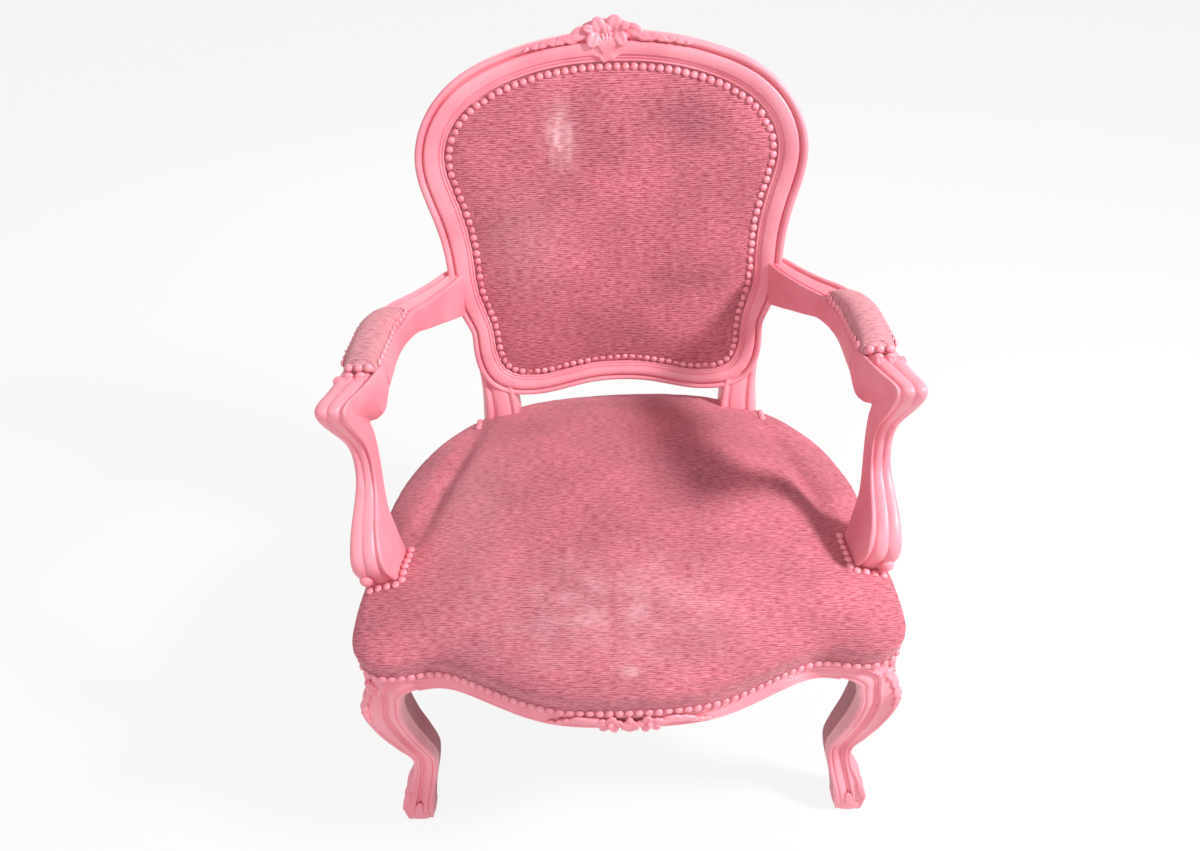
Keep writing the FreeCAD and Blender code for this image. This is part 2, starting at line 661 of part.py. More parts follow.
def moulded_section(corner, side, deep, width, depth):
    """A band between two ridges on the shown face; the inner, outer and hidden faces are flat.

    The corner is the inner one of the shown face. Side points outwards and deep away from that face.
    """
    shape = [(0.0, depth), (0.0, ARM_BEAD), (0.17 * width, 0.0), (0.24 * width, 3.0), (0.31 * width, 0.8),
             (0.69 * width, 0.8), (0.76 * width, 3.0), (0.83 * width, 0.0), (width, ARM_BEAD),
             (width, depth)]
    return polygon([corner + side * s + deep * t for s, t in shape])


def arm_section(rows, index):
    """The arm's section at one of its rows, square to the arm's run in plan."""
    before = rows[max(index - 1, 0)]
    after = rows[min(index + 1, len(rows) - 1)]
    side = vec(before[1] - after[1], after[0] - before[0], 0).normalize()
    x, y, z, width, height = rows[index]
    corner = vec(x, y, z + height / 2) - side * (width / 2)
    return moulded_section(corner, side, vec(0, 0, -1), width, height)


def support_section(row):
    front_y, front_z, rear_y, rear_z, inner, outer = row
    front, rear = vec(inner, front_y, front_z), vec(inner, rear_y, rear_z)
    deep = (rear - front).normalize()
    return moulded_section(front, vec(1, 0, 0), deep, outer - inner, (rear - front).Length)


def support_top_tenon(clearance=0.0):
    """Tenon on the head of the arm support, square to its joint with the arm."""
    front_y, front_z, rear_y, rear_z, inner, outer = SUPPORT_CURVE[0]
    along = vec(0, rear_y - front_y, rear_z - front_z)
    depth = along.Length
    along.normalize()
    rise = vec(0, -along.z, along.y)
    middle = vec((inner + outer) / 2, (front_y + rear_y) / 2, (front_z + rear_z) / 2)
    half_x, half_d = TENON_THICKNESS / 2 + clearance, depth * 0.24 + clearance
    corners = [middle + vec(a, 0, 0) + along * b - rise * (8.0 + clearance)
               for a, b in ((-half_x, -half_d), (half_x, -half_d), (half_x, half_d), (-half_x, half_d))]
    return Part.Face(polygon(corners)).extrude(rise * (8.0 + SUPPORT_TENON + 2 * clearance))


def support_tenon(clearance=0.0):
    """Tenon on the foot of the arm support, down into the side rail."""
    front_y, _, _, _, inner, outer = SUPPORT_CURVE[-1]
    middle = (inner + outer) / 2
    half = TENON_THICKNESS / 2 + clearance
    return box(middle - half, middle + half, front_y + 5.0 - clearance, front_y + 27.0 + clearance,
               RAIL_TOP_Z - SUPPORT_TENON - clearance, RAIL_TOP_Z + 6.0 + clearance)


def screw(foot, direction, length, clearance=0.0):
    """A countersunk wood screw, or with a clearance its hole, from the outer face of its head."""
    head, shank = SCREW_HEAD + clearance, SCREW_RADIUS + clearance
    levels = [(head, 0.0), (shank, SCREW_HEAD), (shank, length + clearance)]
    if clearance:
        levels.insert(0, (head, -SCREW_SINK))
    body = loft([eight_sided(radius, z) for radius, z in levels])
    body.Placement = FreeCAD.Placement(foot, FreeCAD.Rotation(vec(0, 0, 1), direction))
    return body


def support_screw(clearance=0.0):
    """Screw up through the side rail into the foot of the arm support."""
    _, _, rear_y, _, inner, outer = SUPPORT_CURVE[-1]
    foot = vec((inner + outer) / 2, rear_y - 10.0, RAIL_BOTTOM_Z + 1.0)
    return screw(foot, vec(0, 0, 1), RAIL_TOP_Z - RAIL_BOTTOM_Z + 28.0, clearance)


def arm_screw(clearance=0.0):
    """Screw from behind the post into the root of the arm."""
    x, y, z, _, _ = ARM_CURVE[1]
    tip = vec(x, y - 6.0, z - 6.0)
    start = on_back(ARM_CURVE[0][0] - 12.0, z - 12.0, ARM_SCREW_SINK - FRAME_DEPTH)
    return screw(start, (tip - start).normalize(), (tip - start).Length, clearance)


def arm(post):
    rows = fair(ARM_CURVE, 2)
    run = loft([arm_section(rows, index) for index in range(len(rows))])
    beak = loft([arm_section(rows, len(rows) - 1), support_section(KNUCKLE)])
    knuckle = loft([support_section(KNUCKLE), support_section(SUPPORT_CURVE[0])])
    whole = run.fuse([beak, knuckle]).cut(post)
    return whole.cut(support_top_tenon(TENON_CLEARANCE)).cut(arm_screw(SCREW_CLEARANCE)).removeSplitter()


def arm_support():
    body = loft([support_section(row) for row in fair(SUPPORT_CURVE, 2)])
    body = body.fuse([support_top_tenon(), support_tenon()])
    return body.cut(support_screw(SCREW_CLEARANCE)).removeSplitter()


# Inner frame pieces

def block_corner(front):
    """Inner corner of the seat frame behind a block, and the way from it into the seat."""
    if front:
        return SEAT_HALF_WIDTH - RAIL_WIDTH, CORNER_Y + RAIL_WIDTH, vec(-1, 1, 0)
    return REAR_JOINT_X + 40.0, POST_JOINT_Y + 20.0, vec(-1, -1, 0)


def corner_block(front, neighbour):
    """A brace across an inner corner of the seat frame, notched round its leg or post."""
    inside = inner_prism(SOFT_CLEARANCE, BLOCK_Z, BLOCK_Z + BLOCK_HEIGHT)
    x, y, toward = block_corner(front)
    corner = vec(x, y, BLOCK_Z)
    reach = BLOCK_REACH
    triangle = [corner + vec(-toward.x * 30, -toward.y * 30, 0), corner + vec(toward.x * 2 * reach, 0, 0),
                corner + vec(0, toward.y * 2 * reach, 0)]
    block = Part.Face(polygon(triangle)).extrude(vec(0, 0, BLOCK_HEIGHT)).common(inside)
    return largest(block.cut(neighbour)).cut(block_screw(front, SCREW_CLEARANCE))


def block_screw(front, clearance=0.0):
    """Screw through a corner block into the leg or the post, square to the block's long face."""
    x, y, toward = block_corner(front)
    middle = vec(x + toward.x * BLOCK_REACH, y + toward.y * BLOCK_REACH, BLOCK_Z + BLOCK_HEIGHT / 2)
    return screw(middle, vec(-toward.x, -toward.y, 0).normalize(), BLOCK_SCREW, clearance)


# Seat upholstery

def post_hull(gap):
    """The post's plain outline, grown by a gap, where it stands up through the seat."""
    rows = []
    for z, x, front_y, width, depth in fair(POST_CURVE, 2):
        half = width / 2 + gap
        flare = POST_FLARE * depth / POST_DEPTH
        corners = [(-half, depth + gap), (-half, -gap), (half, -gap), (half + flare, depth + gap)]
        rows.append(polygon([vec(x + across, front_y + back, z) for across, back in corners]))
    return loft(rows).common(box(0, 400, 0, 400, RAIL_BOTTOM_Z, SEAT_CROWN_Z))


def support_hull(gap):
    """The arm support's plain outline, grown by a gap, from the rail to over the seat."""
    rows = []
    for front_y, front_z, rear_y, rear_z, inner, outer in fair(SUPPORT_CURVE, 2):
        front, rear = vec(inner - gap, front_y, front_z), vec(inner - gap, rear_y, rear_z)
        deep = (rear - front).normalize() * gap
        wide = vec(outer - inner + 2 * gap, 0, 0)
        front, rear = front - deep, rear + deep
        rows.append(polygon([front, front + wide, rear + wide, rear]))
    hull = loft(rows).common(box(0, 400, -400, 0, RAIL_BOTTOM_Z, SEAT_CROWN_Z))
    foot = SUPPORT_CURVE[-1]
    return hull.fuse(box(foot[4] - gap, foot[5] + gap, foot[0] - gap, foot[2] + gap,
                         RAIL_TOP_Z - gap, RAIL_TOP_Z + 1.0))


def seat_notches(gap):
    """Plain blocks of space round the posts and supports, for the hidden layers."""
    foot = SUPPORT_CURVE[-1]
    widest = min(row[0] for row in SUPPORT_CURVE)
    _, post_x, post_y, post_width, _ = POST_CURVE[4]
    support = box(foot[4] - gap, 400, widest - gap, foot[2] + gap, RAIL_TOP_Z, SEAT_CROWN_Z)
    post = box(post_x - post_width / 2 - gap, 400, post_y - gap, 400, RAIL_TOP_Z, SEAT_CROWN_Z)
    return both_sides(support) + both_sides(post)


def largest(shape):
    return max(shape.Solids, key=lambda solid: solid.Volume)


def without(shape, cutters):
    for cutter in cutters:
        shape = shape.cut(cutter)
    return largest(shape)


def crown_outline(z, growth, share, steps):
    """The plan at one height, grown, then drawn a share of the way to the crown."""
    middle_y = (SEAT_FRONT_Y + SEAT_REAR_Y) / 2
    half_depth = (SEAT_REAR_Y - SEAT_FRONT_Y) / 2
    roundness = min(1.0, share * SEAT_ROUNDING)
    points = []
    for x, y in grown(plan_points(), growth):
        angle = math.atan2((y - middle_y) / half_depth, x / SEAT_HALF_WIDTH)
        x = blend(x, SEAT_HALF_WIDTH * math.cos(angle), roundness)
        y = blend(y, middle_y + half_depth * math.sin(angle), roundness)
        points.append(vec(x * (1 - share), blend(y, SEAT_MIDDLE_Y, share), z))
    return soft_outline(points, steps)


def seat_dome(inset, foot_z, foot_growth, shape, steps):
    """The crowned seat as a solid, an inset inside the shown cloth."""
    rise = SEAT_CROWN_Z - RAIL_TOP_Z
    levels = [crown_outline(foot_z, foot_growth, 0.0, steps)]
    for height, growth, share in shape:
        levels.append(crown_outline(RAIL_TOP_Z + rise * height - inset, growth - inset, share, steps))
    return skinned(levels)


def seat_cover():
    """Cloth over the whole seat, down over the rails' edges to its hem."""
    shell = seat_dome(0.0, COVER_HEM_Z, SOFT_CLEARANCE + CLOTH, SEAT_DOME, 2)
    inside = seat_dome(CLOTH, RAIL_TOP_Z, SOFT_CLEARANCE, SEAT_DOME[1:], 2)
    shell = shell.cut(inside).cut(plan_prism(SOFT_CLEARANCE, COVER_HEM_Z - 1.0, RAIL_TOP_Z + SOFT_CLEARANCE))
    return without(shell, both_sides(post_hull(SOFT_CLEARANCE)) + both_sides(support_hull(SOFT_CLEARANCE)))


def seat_stuffing():
    base = hessian_top_z() + SOFT_CLEARANCE
    inset = CLOTH + SEAT_STUFFING_GAP
    fill = seat_dome(inset, base, -inset, SEAT_DOME[1:], 1)
    return without(fill, seat_notches(LAYER_CLEARANCE))


def webbing_top_z():
    return RAIL_TOP_Z + SOFT_CLEARANCE + 2 * (WEBBING_THICKNESS + WEBBING_GAP)


def hessian_top_z():
    return webbing_top_z() + HESSIAN


def seat_sheet(inset, z0, z1):
    """A flat layer with the seat's outline in straight steps, an inset inside the rail's face."""
    corners = [vec(x, y, z0) for x, y in grown(plan_points(), -inset)]
    return Part.Face(polygon(soft_outline(corners, 1))).extrude(vec(0, 0, z1 - z0))


def seat_webbing():
    """Two layers of straps across the rails, at right angles."""
    lower = RAIL_TOP_Z + SOFT_CLEARANCE
    upper = lower + WEBBING_THICKNESS + WEBBING_GAP
    inside = seat_sheet(SEAT_LAYER_INSET, lower, upper + WEBBING_THICKNESS)
    straps = []
    for count in range(-2, 3):
        x = count * WEBBING * 1.75
        straps.append(box(x - WEBBING / 2, x + WEBBING / 2, -400, 400, lower, lower + WEBBING_THICKNESS))
    for count in range(5):
        y = SEAT_FRONT_Y + 90.0 + count * WEBBING * 1.75
        straps.append(box(-400, 400, y - WEBBING / 2, y + WEBBING / 2, upper, upper + WEBBING_THICKNESS))
    return Part.makeCompound([without(strap.common(inside), seat_notches(LAYER_CLEARANCE)) for strap in straps])


def seat_hessian():
    sheet = seat_sheet(SEAT_LAYER_INSET - 2.0, webbing_top_z(), hessian_top_z())
    return without(sheet, seat_notches(LAYER_CLEARANCE))


def bottom_cloth():
    """Thin cloth tacked under the seat frame, clear of the legs and posts."""
    z = RAIL_BOTTOM_Z - SOFT_CLEARANCE
    sheet = seat_sheet(SEAT_LAYER_INSET, z - BOTTOM_CLOTH, z)
    legs = box(FRONT_JOINT_X - 2.0, 400, -400, SIDE_JOINT_Y + 2.0, 0, 400)
    posts = box(REAR_JOINT_X - 2.0, 400, POST_JOINT_Y - 2.0, 400, 0, 400)
    return without(sheet, both_sides(legs) + both_sides(posts))


# Back upholstery

def sight_outline(line, inset, steps):
    """Corners along the sight line, an inset inside it, as seen from the front."""
    points = []
    for index in range(len(line.rows)):
        point, outward, _ = line.at(index)
        points.append(vec(point.x - outward.x * inset, 0, point.z - outward.z * inset))
    return soft_outline(points, steps)


def on_back(x, z, level):
    """A point of the back at a level over the face of the sight line."""
    front, _ = lean_vectors()
    return vec(x, back_face_y(x, z), z) + front * level


def crown_level(share):
    """Rise of the shown cloth, at a share of the way from the middle to the sight line."""
    return BACK_CROWN * (1.0 - share ** BACK_ROLL)


def back_layer(line, inset, steps, front_level, rear_level, shares, rear_shares=None):
    """A layer of the back between two levels, each worked out from the share of the way out."""
    outline = sight_outline(line, inset, steps)

    def ring(share, level):
        return [on_back(p.x * share, blend(BACK_CENTRE_Z, p.z, share), level(share)) for p in outline]

    rings = [ring(share, front_level) for share in shares]
    rings += [ring(share, rear_level) for share in reversed(rear_shares or shares)]
    return skinned(rings)


def back_cover(line):
    return back_layer(line, BACK_EDGE, 2, crown_level, lambda share: crown_level(share) - CLOTH,
                      (0.25, 0.5, 0.72, 0.86, 0.95, 1.0), (0.36, 0.72, 0.9, 1.0))


def back_stuffing(line):
    def under_cover(share):
        return crown_level(share * STUFFING_SHARE) - CLOTH - STUFFING_GAP

    def over_canvas(share):
        return CANVAS_LEVEL + STUFFING_GAP

    return back_layer(line, STUFFING_INSET, 1, under_cover, over_canvas, (0.3, 0.6, 0.85, 1.0))


def back_canvas(line):
    return back_layer(line, CANVAS_INSET, 1, lambda share: CANVAS_LEVEL, lambda share: CANVAS_LEVEL - CANVAS_THICKNESS,
                      (0.5, 1.0))


def outer_cover_level():
    return REBATE - FRAME_DEPTH - OUTER_COVER_GAP


def outer_back_cover(line):
    front = outer_cover_level()
    return back_layer(line, -OUTER_COVER_MARGIN, 2, lambda share: front, lambda share: front - OUTER_COVER,
                      (0.5, 1.0))


# Arm pads

def outer_cover_space(line):
    """Room behind the back for the outer cover, where the posts would fill its rebate."""
    return back_layer(line, -OUTER_COVER_MARGIN - 2.0, 2, lambda share: REBATE - FRAME_DEPTH,
                      lambda share: -2 * FRAME_DEPTH, (0.5, 0.9, 1.0), (0.5, 1.0))


def arm_top_at(y):
    """Middle and top height of the wooden arm at a depth y."""
    for first, last in zip(ARM_CURVE, ARM_CURVE[1:]):
        if last[1] <= y <= first[1]:
            share = (first[1] - y) / (first[1] - last[1])
            return (blend(first[0], last[0], share),
                    blend(first[2] + first[4] / 2, last[2] + last[4] / 2, share))
    last = ARM_CURVE[-1]
    return last[0], last[2] + last[4] / 2


def pad_section(place, wide, full, inset, floor):
    """A domed section across the arm at a share of the pad's length; the floor is over the arm."""
    y = blend(PAD_REAR_Y, PAD_FRONT_Y, place)
    x, top_of_arm = arm_top_at(y)
    half = PAD_WIDTH / 2 * wide - inset
    base = top_of_arm + floor
    height = PAD_LIFT + PAD_HEIGHT * full - inset - floor
    shape = [(-1.0, 0.0), (-0.94, 0.45), (-0.6, 0.86), (0.0, 1.0), (0.6, 0.86), (0.94, 0.45), (1.0, 0.0)]
    return [vec(x + half * across, y, base + height * up) for across, up in shape]


def pad_body(inset, floor, shape):
    trim = inset / (PAD_REAR_Y - PAD_FRONT_Y)
    rows = [(blend(trim, 1.0 - trim, place), wide, full) for place, wide, full in shape]
    return skinned([pad_section(place, wide, full, inset, floor) for place, wide, full in rows])


def arm_pad_cover():
    """Cloth over the pad, open underneath."""
    return largest(pad_body(0.0, PAD_LIFT, PAD_SHAPE).cut(pad_body(CLOTH, 0.0, PAD_SHAPE)))


def arm_pad_stuffing():
    """The stuffing, which stops short of the low ends of the cover."""
    return pad_body(CLOTH + PAD_STUFFING_GAP, PAD_LIFT + SOFT_CLEARANCE, PAD_SHAPE[1:-1])


# Nails, tacks, pegs and screws

def nail_head(foot, out, radius=NAIL_RADIUS, height=NAIL_HEIGHT):
    """A low five-sided head a hair above the cloth, its axis along out."""
    sides = 5
    ring = [vec(radius * math.cos(turn * math.tau / sides), radius * math.sin(turn * math.tau / sides), 0)
            for turn in range(sides)]
    head = Part.makeLoft([polygon(ring), Part.Vertex(0, 0, height)], True, True)
    head.Placement = FreeCAD.Placement(foot + out * NAIL_SEAT, FreeCAD.Rotation(vec(0, 0, 1), out))
    return head


def evenly(curve, pitch):
    """Parameters at about one pitch apart along a closed curve."""
    length = curve.length()
    count = round(length / pitch)
    return [curve.parameterAtDistance(length * index / count, curve.FirstParameter) for index in range(count)]


def heads_on(cover, places, radius=NAIL_RADIUS, height=NAIL_HEIGHT):
    """Heads on the outermost faces of a cover, square to them.

    Each place is on the cloth or under it, and comes with the direction out of it. Where the cloth is cut
    away there is no head.
    """
    faces = []
    for face in cover.Faces:
        bounds = face.BoundBox
        bounds.enlarge(0.01)
        faces.append((face, face.normalAt(0, 0), face.Vertexes[0].Point, bounds))
    heads = []
    for place, toward in places:
        seats = []
        for face, out, corner, bounds in faces:
            facing = out.dot(toward)
            if facing < 0.1:
                continue
            distance = (corner - place).dot(out) / facing
            if distance < -NAIL_PITCH:
                continue
            foot = place + toward * distance
            if bounds.isInside(foot) and face.isInside(foot, 0.01, True):
                seats.append((distance, foot, out))
        if seats:
            _, foot, out = max(seats, key=lambda seat: seat[0])
            heads.append(nail_head(foot, out, radius, height))
    return Part.makeCompound(heads)


def seat_nails():
    """Places along the hem of the seat cover, but for the posts' feet at the rear."""
    curve = closed_spline([vec(x, y, NAIL_LINE_Z) for x, y in grown(plan_points(), SOFT_CLEARANCE + CLOTH)])
    _, post_x, _, post_width, _ = POST_CURVE[4]
    places = []
    for mark in evenly(curve, NAIL_PITCH):
        place = curve.value(mark)
        along = curve.tangent(mark)[0]
        behind_post = place.y > POST_JOINT_Y and abs(abs(place.x) - post_x - POST_FLARE) < post_width
        if not behind_post:
            places.append((place, vec(along.y, -along.x, 0)))
    return places


def back_nails(line):
    """Places along the sight line, on the cloth."""
    outline = closed_spline(sight_outline(line, NAIL_INSET, 1))
    front, _ = lean_vectors()
    places = [outline.value(mark) for mark in evenly(outline, NAIL_PITCH)]
    return [(on_back(place.x, place.z, 0.0), front) for place in places]


def outer_back_tacks(line):
    """Places round the edge of the outer back cover."""
    outline = closed_spline(sight_outline(line, -1.0, 1))
    front, _ = lean_vectors()
    places = [outline.value(mark) for mark in evenly(outline, TACK_PITCH)]
    return [(on_back(place.x, place.z, outer_cover_level() - OUTER_COVER), front * -1) for place in places]


def pad_nails():
    """Places low on both long sides and both ends of the arm pad."""
    places = []
    count = round((PAD_REAR_Y - PAD_FRONT_Y) / NAIL_PITCH)
    for step in range(1, count):
        y = blend(PAD_REAR_Y, PAD_FRONT_Y, step / count)
        x, top = arm_top_at(y)
        places += [(vec(x, y, top + PAD_NAIL_RISE), vec(side, 0, 0)) for side in (-1, 1)]
    for y, facing in ((PAD_REAR_Y, 1), (PAD_FRONT_Y, -1)):
        x, top = arm_top_at(y)
        for across in (-1, 0, 1):
            places.append((vec(x + across * NAIL_PITCH, y, top + PAD_NAIL_RISE), vec(0, facing, 0)))
    return places


def support_nails():
    """Places in front of the arm support's foot and along its inner side, on the seat cover."""
    front_y, _, rear_y, _, inner, _ = SUPPORT_CURVE[-2]
    beside = NAIL_RADIUS + 1.0
    spots = [(inner + 1.0 + step * NAIL_PITCH, front_y - beside) for step in range(4)]
    spots += [(inner - beside, front_y + step * NAIL_PITCH) for step in range(6)]
    return [(vec(x, y, COVER_HEM_Z), vec(0, 0, 1)) for x, y in spots]


def post_nails():
    """Places beside the foot of the back post, on the seat cover."""
    _, post_x, post_y, post_width, _ = POST_CURVE[4]
    x = post_x + post_width / 2 + NAIL_RADIUS + 3.0
    return [(vec(x, post_y + step * NAIL_PITCH, COVER_HEM_Z), vec(0, 0, 1)) for step in (-1, 0, 1)]


def seat_joint_pegs():
    pegs = seat_pegs(riven_peg)
    return Part.makeCompound(pegs + [mirrored(peg) for peg in pegs])


def back_joint_pegs(line):
    pegs = [back_peg(line, count, riven_peg) for count in (BOTTOM_JOINT, CREST_JOINT)]
    return Part.makeCompound(pegs + [mirrored(peg) for peg in pegs])


def corner_block_screws():
    screws = [block_screw(True), block_screw(False)]
    return Part.makeCompound(screws + [mirrored(piece) for piece in screws])


def main():
    os.makedirs("parts", exist_ok=True)
    line = SightLine()
    ring = seat_ring()
    leg = front_leg(ring)
    post = back_post(ring, line)
    cover = seat_cover()
    back = back_cover(line)
    outer_back = outer_back_cover(line)
    pad = arm_pad_cover()
    single = {
        "crest_rail": crest_rail(line),
        "back_bottom_rail": bottom_rail(line),
        "front_seat_rail": front_rail(ring),
        "rear_seat_rail": rear_rail(ring),
        "seat_joint_pegs": seat_joint_pegs(),
        "back_joint_pegs": back_joint_pegs(line),
        "corner_block_screws": corner_block_screws(),
        "arm_screws": Part.makeCompound(both_sides(arm_screw())),
        "arm_support_screws": Part.makeCompound(both_sides(support_screw())),
        "seat_webbing": seat_webbing(),
        "seat_hessian": seat_hessian(),
        "seat_stuffing": seat_stuffing(),
        "seat_cover": cover,
        "seat_nails": heads_on(cover, seat_nails()),
        "bottom_cloth": bottom_cloth(),
        "back_canvas": back_canvas(line),
        "back_stuffing": back_stuffing(line),
        "back_cover": back,
        "back_nails": heads_on(back, back_nails(line)),
        "outer_back_cover": outer_back,
        "outer_back_tacks": heads_on(outer_back, outer_back_tacks(line), TACK_RADIUS, TACK_HEIGHT)}
    paired = {
        "front_leg": leg,
        "back_post": post,
        "side_seat_rail": side_rail(ring),
        "arm": arm(post),
        "arm_support": arm_support(),
        "arm_pad_stuffing": arm_pad_stuffing(),
        "arm_pad_cover": pad,
        "arm_pad_nails": heads_on(pad, pad_nails()),
        "arm_support_nails": heads_on(cover, support_nails()),
        "back_post_nails": heads_on(cover, post_nails()),
        "corner_block_front": corner_block(True, leg),
        "corner_block_rear": corner_block(False, post)}
    for name, shape in single.items():
        shape.exportStep("parts/" + name + ".step")
    for name, shape in paired.items():
        shape.exportStep("parts/" + name + "_right.step")
        mirrored(shape).exportStep("parts/" + name + "_left.step")


if __name__ == "__main__":
    main()
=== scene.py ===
"""Looks of a carved and moulded open armchair: satin pink paint over beech and worn rose chenille.

All sizes in the classes are millimetres in the chair's own frame: +X to the viewer's right, -Y to the
front, +Z up, with the floor at 0. Meshes are turned to metres when a piece is published.
"""
import logging
import math
from dataclasses import dataclass, field
from enum import Enum
from typing import Callable, Iterable, Optional, Sequence

import bmesh
import bpy
import numpy as np
from mathutils import Matrix, Vector, noise


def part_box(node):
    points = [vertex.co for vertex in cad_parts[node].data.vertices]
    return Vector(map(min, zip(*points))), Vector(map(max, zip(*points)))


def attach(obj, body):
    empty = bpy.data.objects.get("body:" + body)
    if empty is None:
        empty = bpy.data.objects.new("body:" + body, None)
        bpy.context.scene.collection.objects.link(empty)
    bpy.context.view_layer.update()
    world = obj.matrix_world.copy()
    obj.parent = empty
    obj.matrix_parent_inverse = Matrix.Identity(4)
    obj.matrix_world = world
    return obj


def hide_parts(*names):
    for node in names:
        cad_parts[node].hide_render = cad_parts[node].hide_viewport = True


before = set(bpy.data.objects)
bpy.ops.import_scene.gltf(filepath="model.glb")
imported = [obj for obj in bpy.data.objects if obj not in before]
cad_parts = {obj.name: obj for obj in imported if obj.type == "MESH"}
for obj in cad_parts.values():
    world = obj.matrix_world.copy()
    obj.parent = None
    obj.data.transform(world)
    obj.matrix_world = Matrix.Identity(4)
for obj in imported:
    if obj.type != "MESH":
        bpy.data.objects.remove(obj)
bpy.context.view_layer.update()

LOG = logging.getLogger("armchair")
MM = 0.001
WELD = 0.0005                   # points nearer than this many mm are one
CARVING_VOXEL = 0.8             # mm, melts the lobes of a carving into one skin
SOFT_CREASE = 80.0              # cloth shows no sharp edges below this angle
SQUARENESS = 0.62               # power that turns a circle into a rounded square
CLOTH_PRESSURE = 3.0
SHEET_SHARES = (1.0, 0.92, 0.75, 0.5, 0.25)
Row = tuple[float, ...]


# Small geometry tools

def lerp(a: float, b: float, share: float) -> float:
    """Value at a share of the way from a to b."""
    return a + (b - a) * share


def ease(value: float) -> float:
    """Share that leaves 0 and reaches 1 softly."""
    value = min(1.0, max(0.0, value))
    return value * value * (3.0 - 2.0 * value)


def fair(rows: Sequence[Row], per_span: int) -> list[Row]:
    """Adds rows of sizes between the given ones, on smooth curves through them.

    Args:
        rows: Rows of numbers; the first three measure the distance between rows.
        per_span: How many steps each span gets.

    Returns:
        The finer rows, with the given ones among them.
    """
    ends = [rows[0], *rows, rows[-1]]
    result = [tuple(rows[0])]
    for before, start, end, after in zip(ends, ends[1:], ends[2:], ends[3:]):
        span = math.dist(start[:3], end[:3])
        lead = span / (math.dist(before[:3], end[:3]) or span)
        trail = span / (math.dist(start[:3], after[:3]) or span)
        for step in range(1, per_span + 1):
            t = step / per_span
            row = []
            for p, a, b, q in zip(before, start, end, after):
                slope_a, slope_b = (b - p) * lead, (q - a) * trail
                row.append(a + t * slope_a + t * t * (3 * (b - a) - 2 * slope_a - slope_b)
                           + t ** 3 * (slope_a + slope_b - 2 * (b - a)))
            result.append(tuple(row))
    return result


class Loop:
    """A smooth closed curve through points, counted by its points."""

    def __init__(self, points: Sequence[Sequence[float]]) -> None:
        """Fits a periodic cubic curve through the points."""
        self.points = np.array([tuple(point) for point in points], float)
        count = len(self.points)
        self.steps = np.linalg.norm(np.roll(self.points, -1, 0) - self.points, axis=1)
        matrix, right = np.zeros((count, count)), np.zeros_like(self.points)
        for index in range(count):
            before, ahead = self.steps[index - 1], self.steps[index]
            following = (index + 1) % count
            matrix[index, index - 1] += before
            matrix[index, index] += 2 * (before + ahead)
            matrix[index, following] += ahead
            right[index] = 6 * ((self.points[following] - self.points[index]) / ahead
                                - (self.points[index] - self.points[index - 1]) / before)
        self.bend = np.linalg.solve(matrix, right)

    def at(self, count: float) -> Vector:
        """Point at a place counted along the curve."""
        index = math.floor(count) % len(self.points)
        following = (index + 1) % len(self.points)
        t = count - math.floor(count)
        scale = self.steps[index] ** 2 / 6
        return Vector(self.points[index] * (1 - t) + self.points[following] * t
                      + ((1 - t) ** 3 - (1 - t)) * self.bend[index] * scale
                      + (t ** 3 - t) * self.bend[following] * scale)

    def direction(self, count: float) -> Vector:
        """Unit vector along the curve at a place."""
        return (self.at(count + 0.01) - self.at(count - 0.01)).normalized()

    def evenly(self, pitch: float, start: float = 0.0, end: Optional[float] = None) -> list[float]:
        """Counts at about one pitch apart, from start to end, or once round."""
        end = len(self.points) if end is None else end
        fine = np.linspace(start, end, 1600)
        places = np.array([self.at(mark) for mark in fine])
        run = np.concatenate([[0.0], np.cumsum(np.linalg.norm(np.diff(places, axis=0), axis=1))])
        steps = max(1, round(run[-1] / pitch))
        return list(np.interp(np.linspace(0, run[-1], steps + 1), run, fine))


class Skin:
    """A mesh that is pulled out ring by ring from a first row of vertices."""

    def __init__(self) -> None:
        """Starts an empty mesh."""
        self.bm = bmesh.new()
        self.ring: list[bmesh.types.BMVert] = []
        self.edges: list[bmesh.types.BMEdge] = []

    def grow(self, points: Sequence[Vector]) -> None:
        """Adds the next ring, with as many points as the first."""
        if not self.ring:
            self.ring = [self.bm.verts.new(point) for point in points]
            pairs = zip(self.ring, self.ring[1:] + self.ring[:1])
            self.edges = [self.bm.edges.new(pair) for pair in pairs]
            return
        made = bmesh.ops.extrude_edge_only(self.bm, edges=self.edges)["geom"]
        fresh = {item for item in made if isinstance(item, bmesh.types.BMVert)}
        self.ring = [next(edge.other_vert(vert) for edge in vert.link_edges
                          if edge.other_vert(vert) in fresh) for vert in self.ring]
        for vert, point in zip(self.ring, points):
            vert.co = point
        self.edges = [item for item in made if isinstance(item, bmesh.types.BMEdge)
                      and all(vert in fresh for vert in item.verts)]

    def cap(self) -> None:
        """Closes the mesh at the ring that was added last."""
        bmesh.ops.contextual_create(self.bm, geom=self.edges)

    def new_run(self) -> None:
        """Starts another run of rings in the same mesh."""
        self.ring, self.edges = [], []

    def run(self, rings: Iterable[Sequence[Vector]], caps: bool = True) -> None:
        """Pulls one closed run through the rings, with a face at each end."""
        self.new_run()
        for number, ring in enumerate(rings):
            self.grow(ring)
            if number == 0 and caps:
                self.cap()
        if caps:
            self.cap()


def add_bm(target: bmesh.types.BMesh, source: bmesh.types.BMesh) -> None:
    """Copies one mesh into another and frees it."""
    carrier = bpy.data.meshes.new("carrier")
    source.to_mesh(carrier)
    source.free()
    target.from_mesh(carrier)
    bpy.data.meshes.remove(carrier)


def mirror(bm: bmesh.types.BMesh) -> None:
    """Turns a right-hand piece into a left-hand one."""
    bmesh.ops.scale(bm, vec=Vector((-1, 1, 1)), verts=bm.verts)


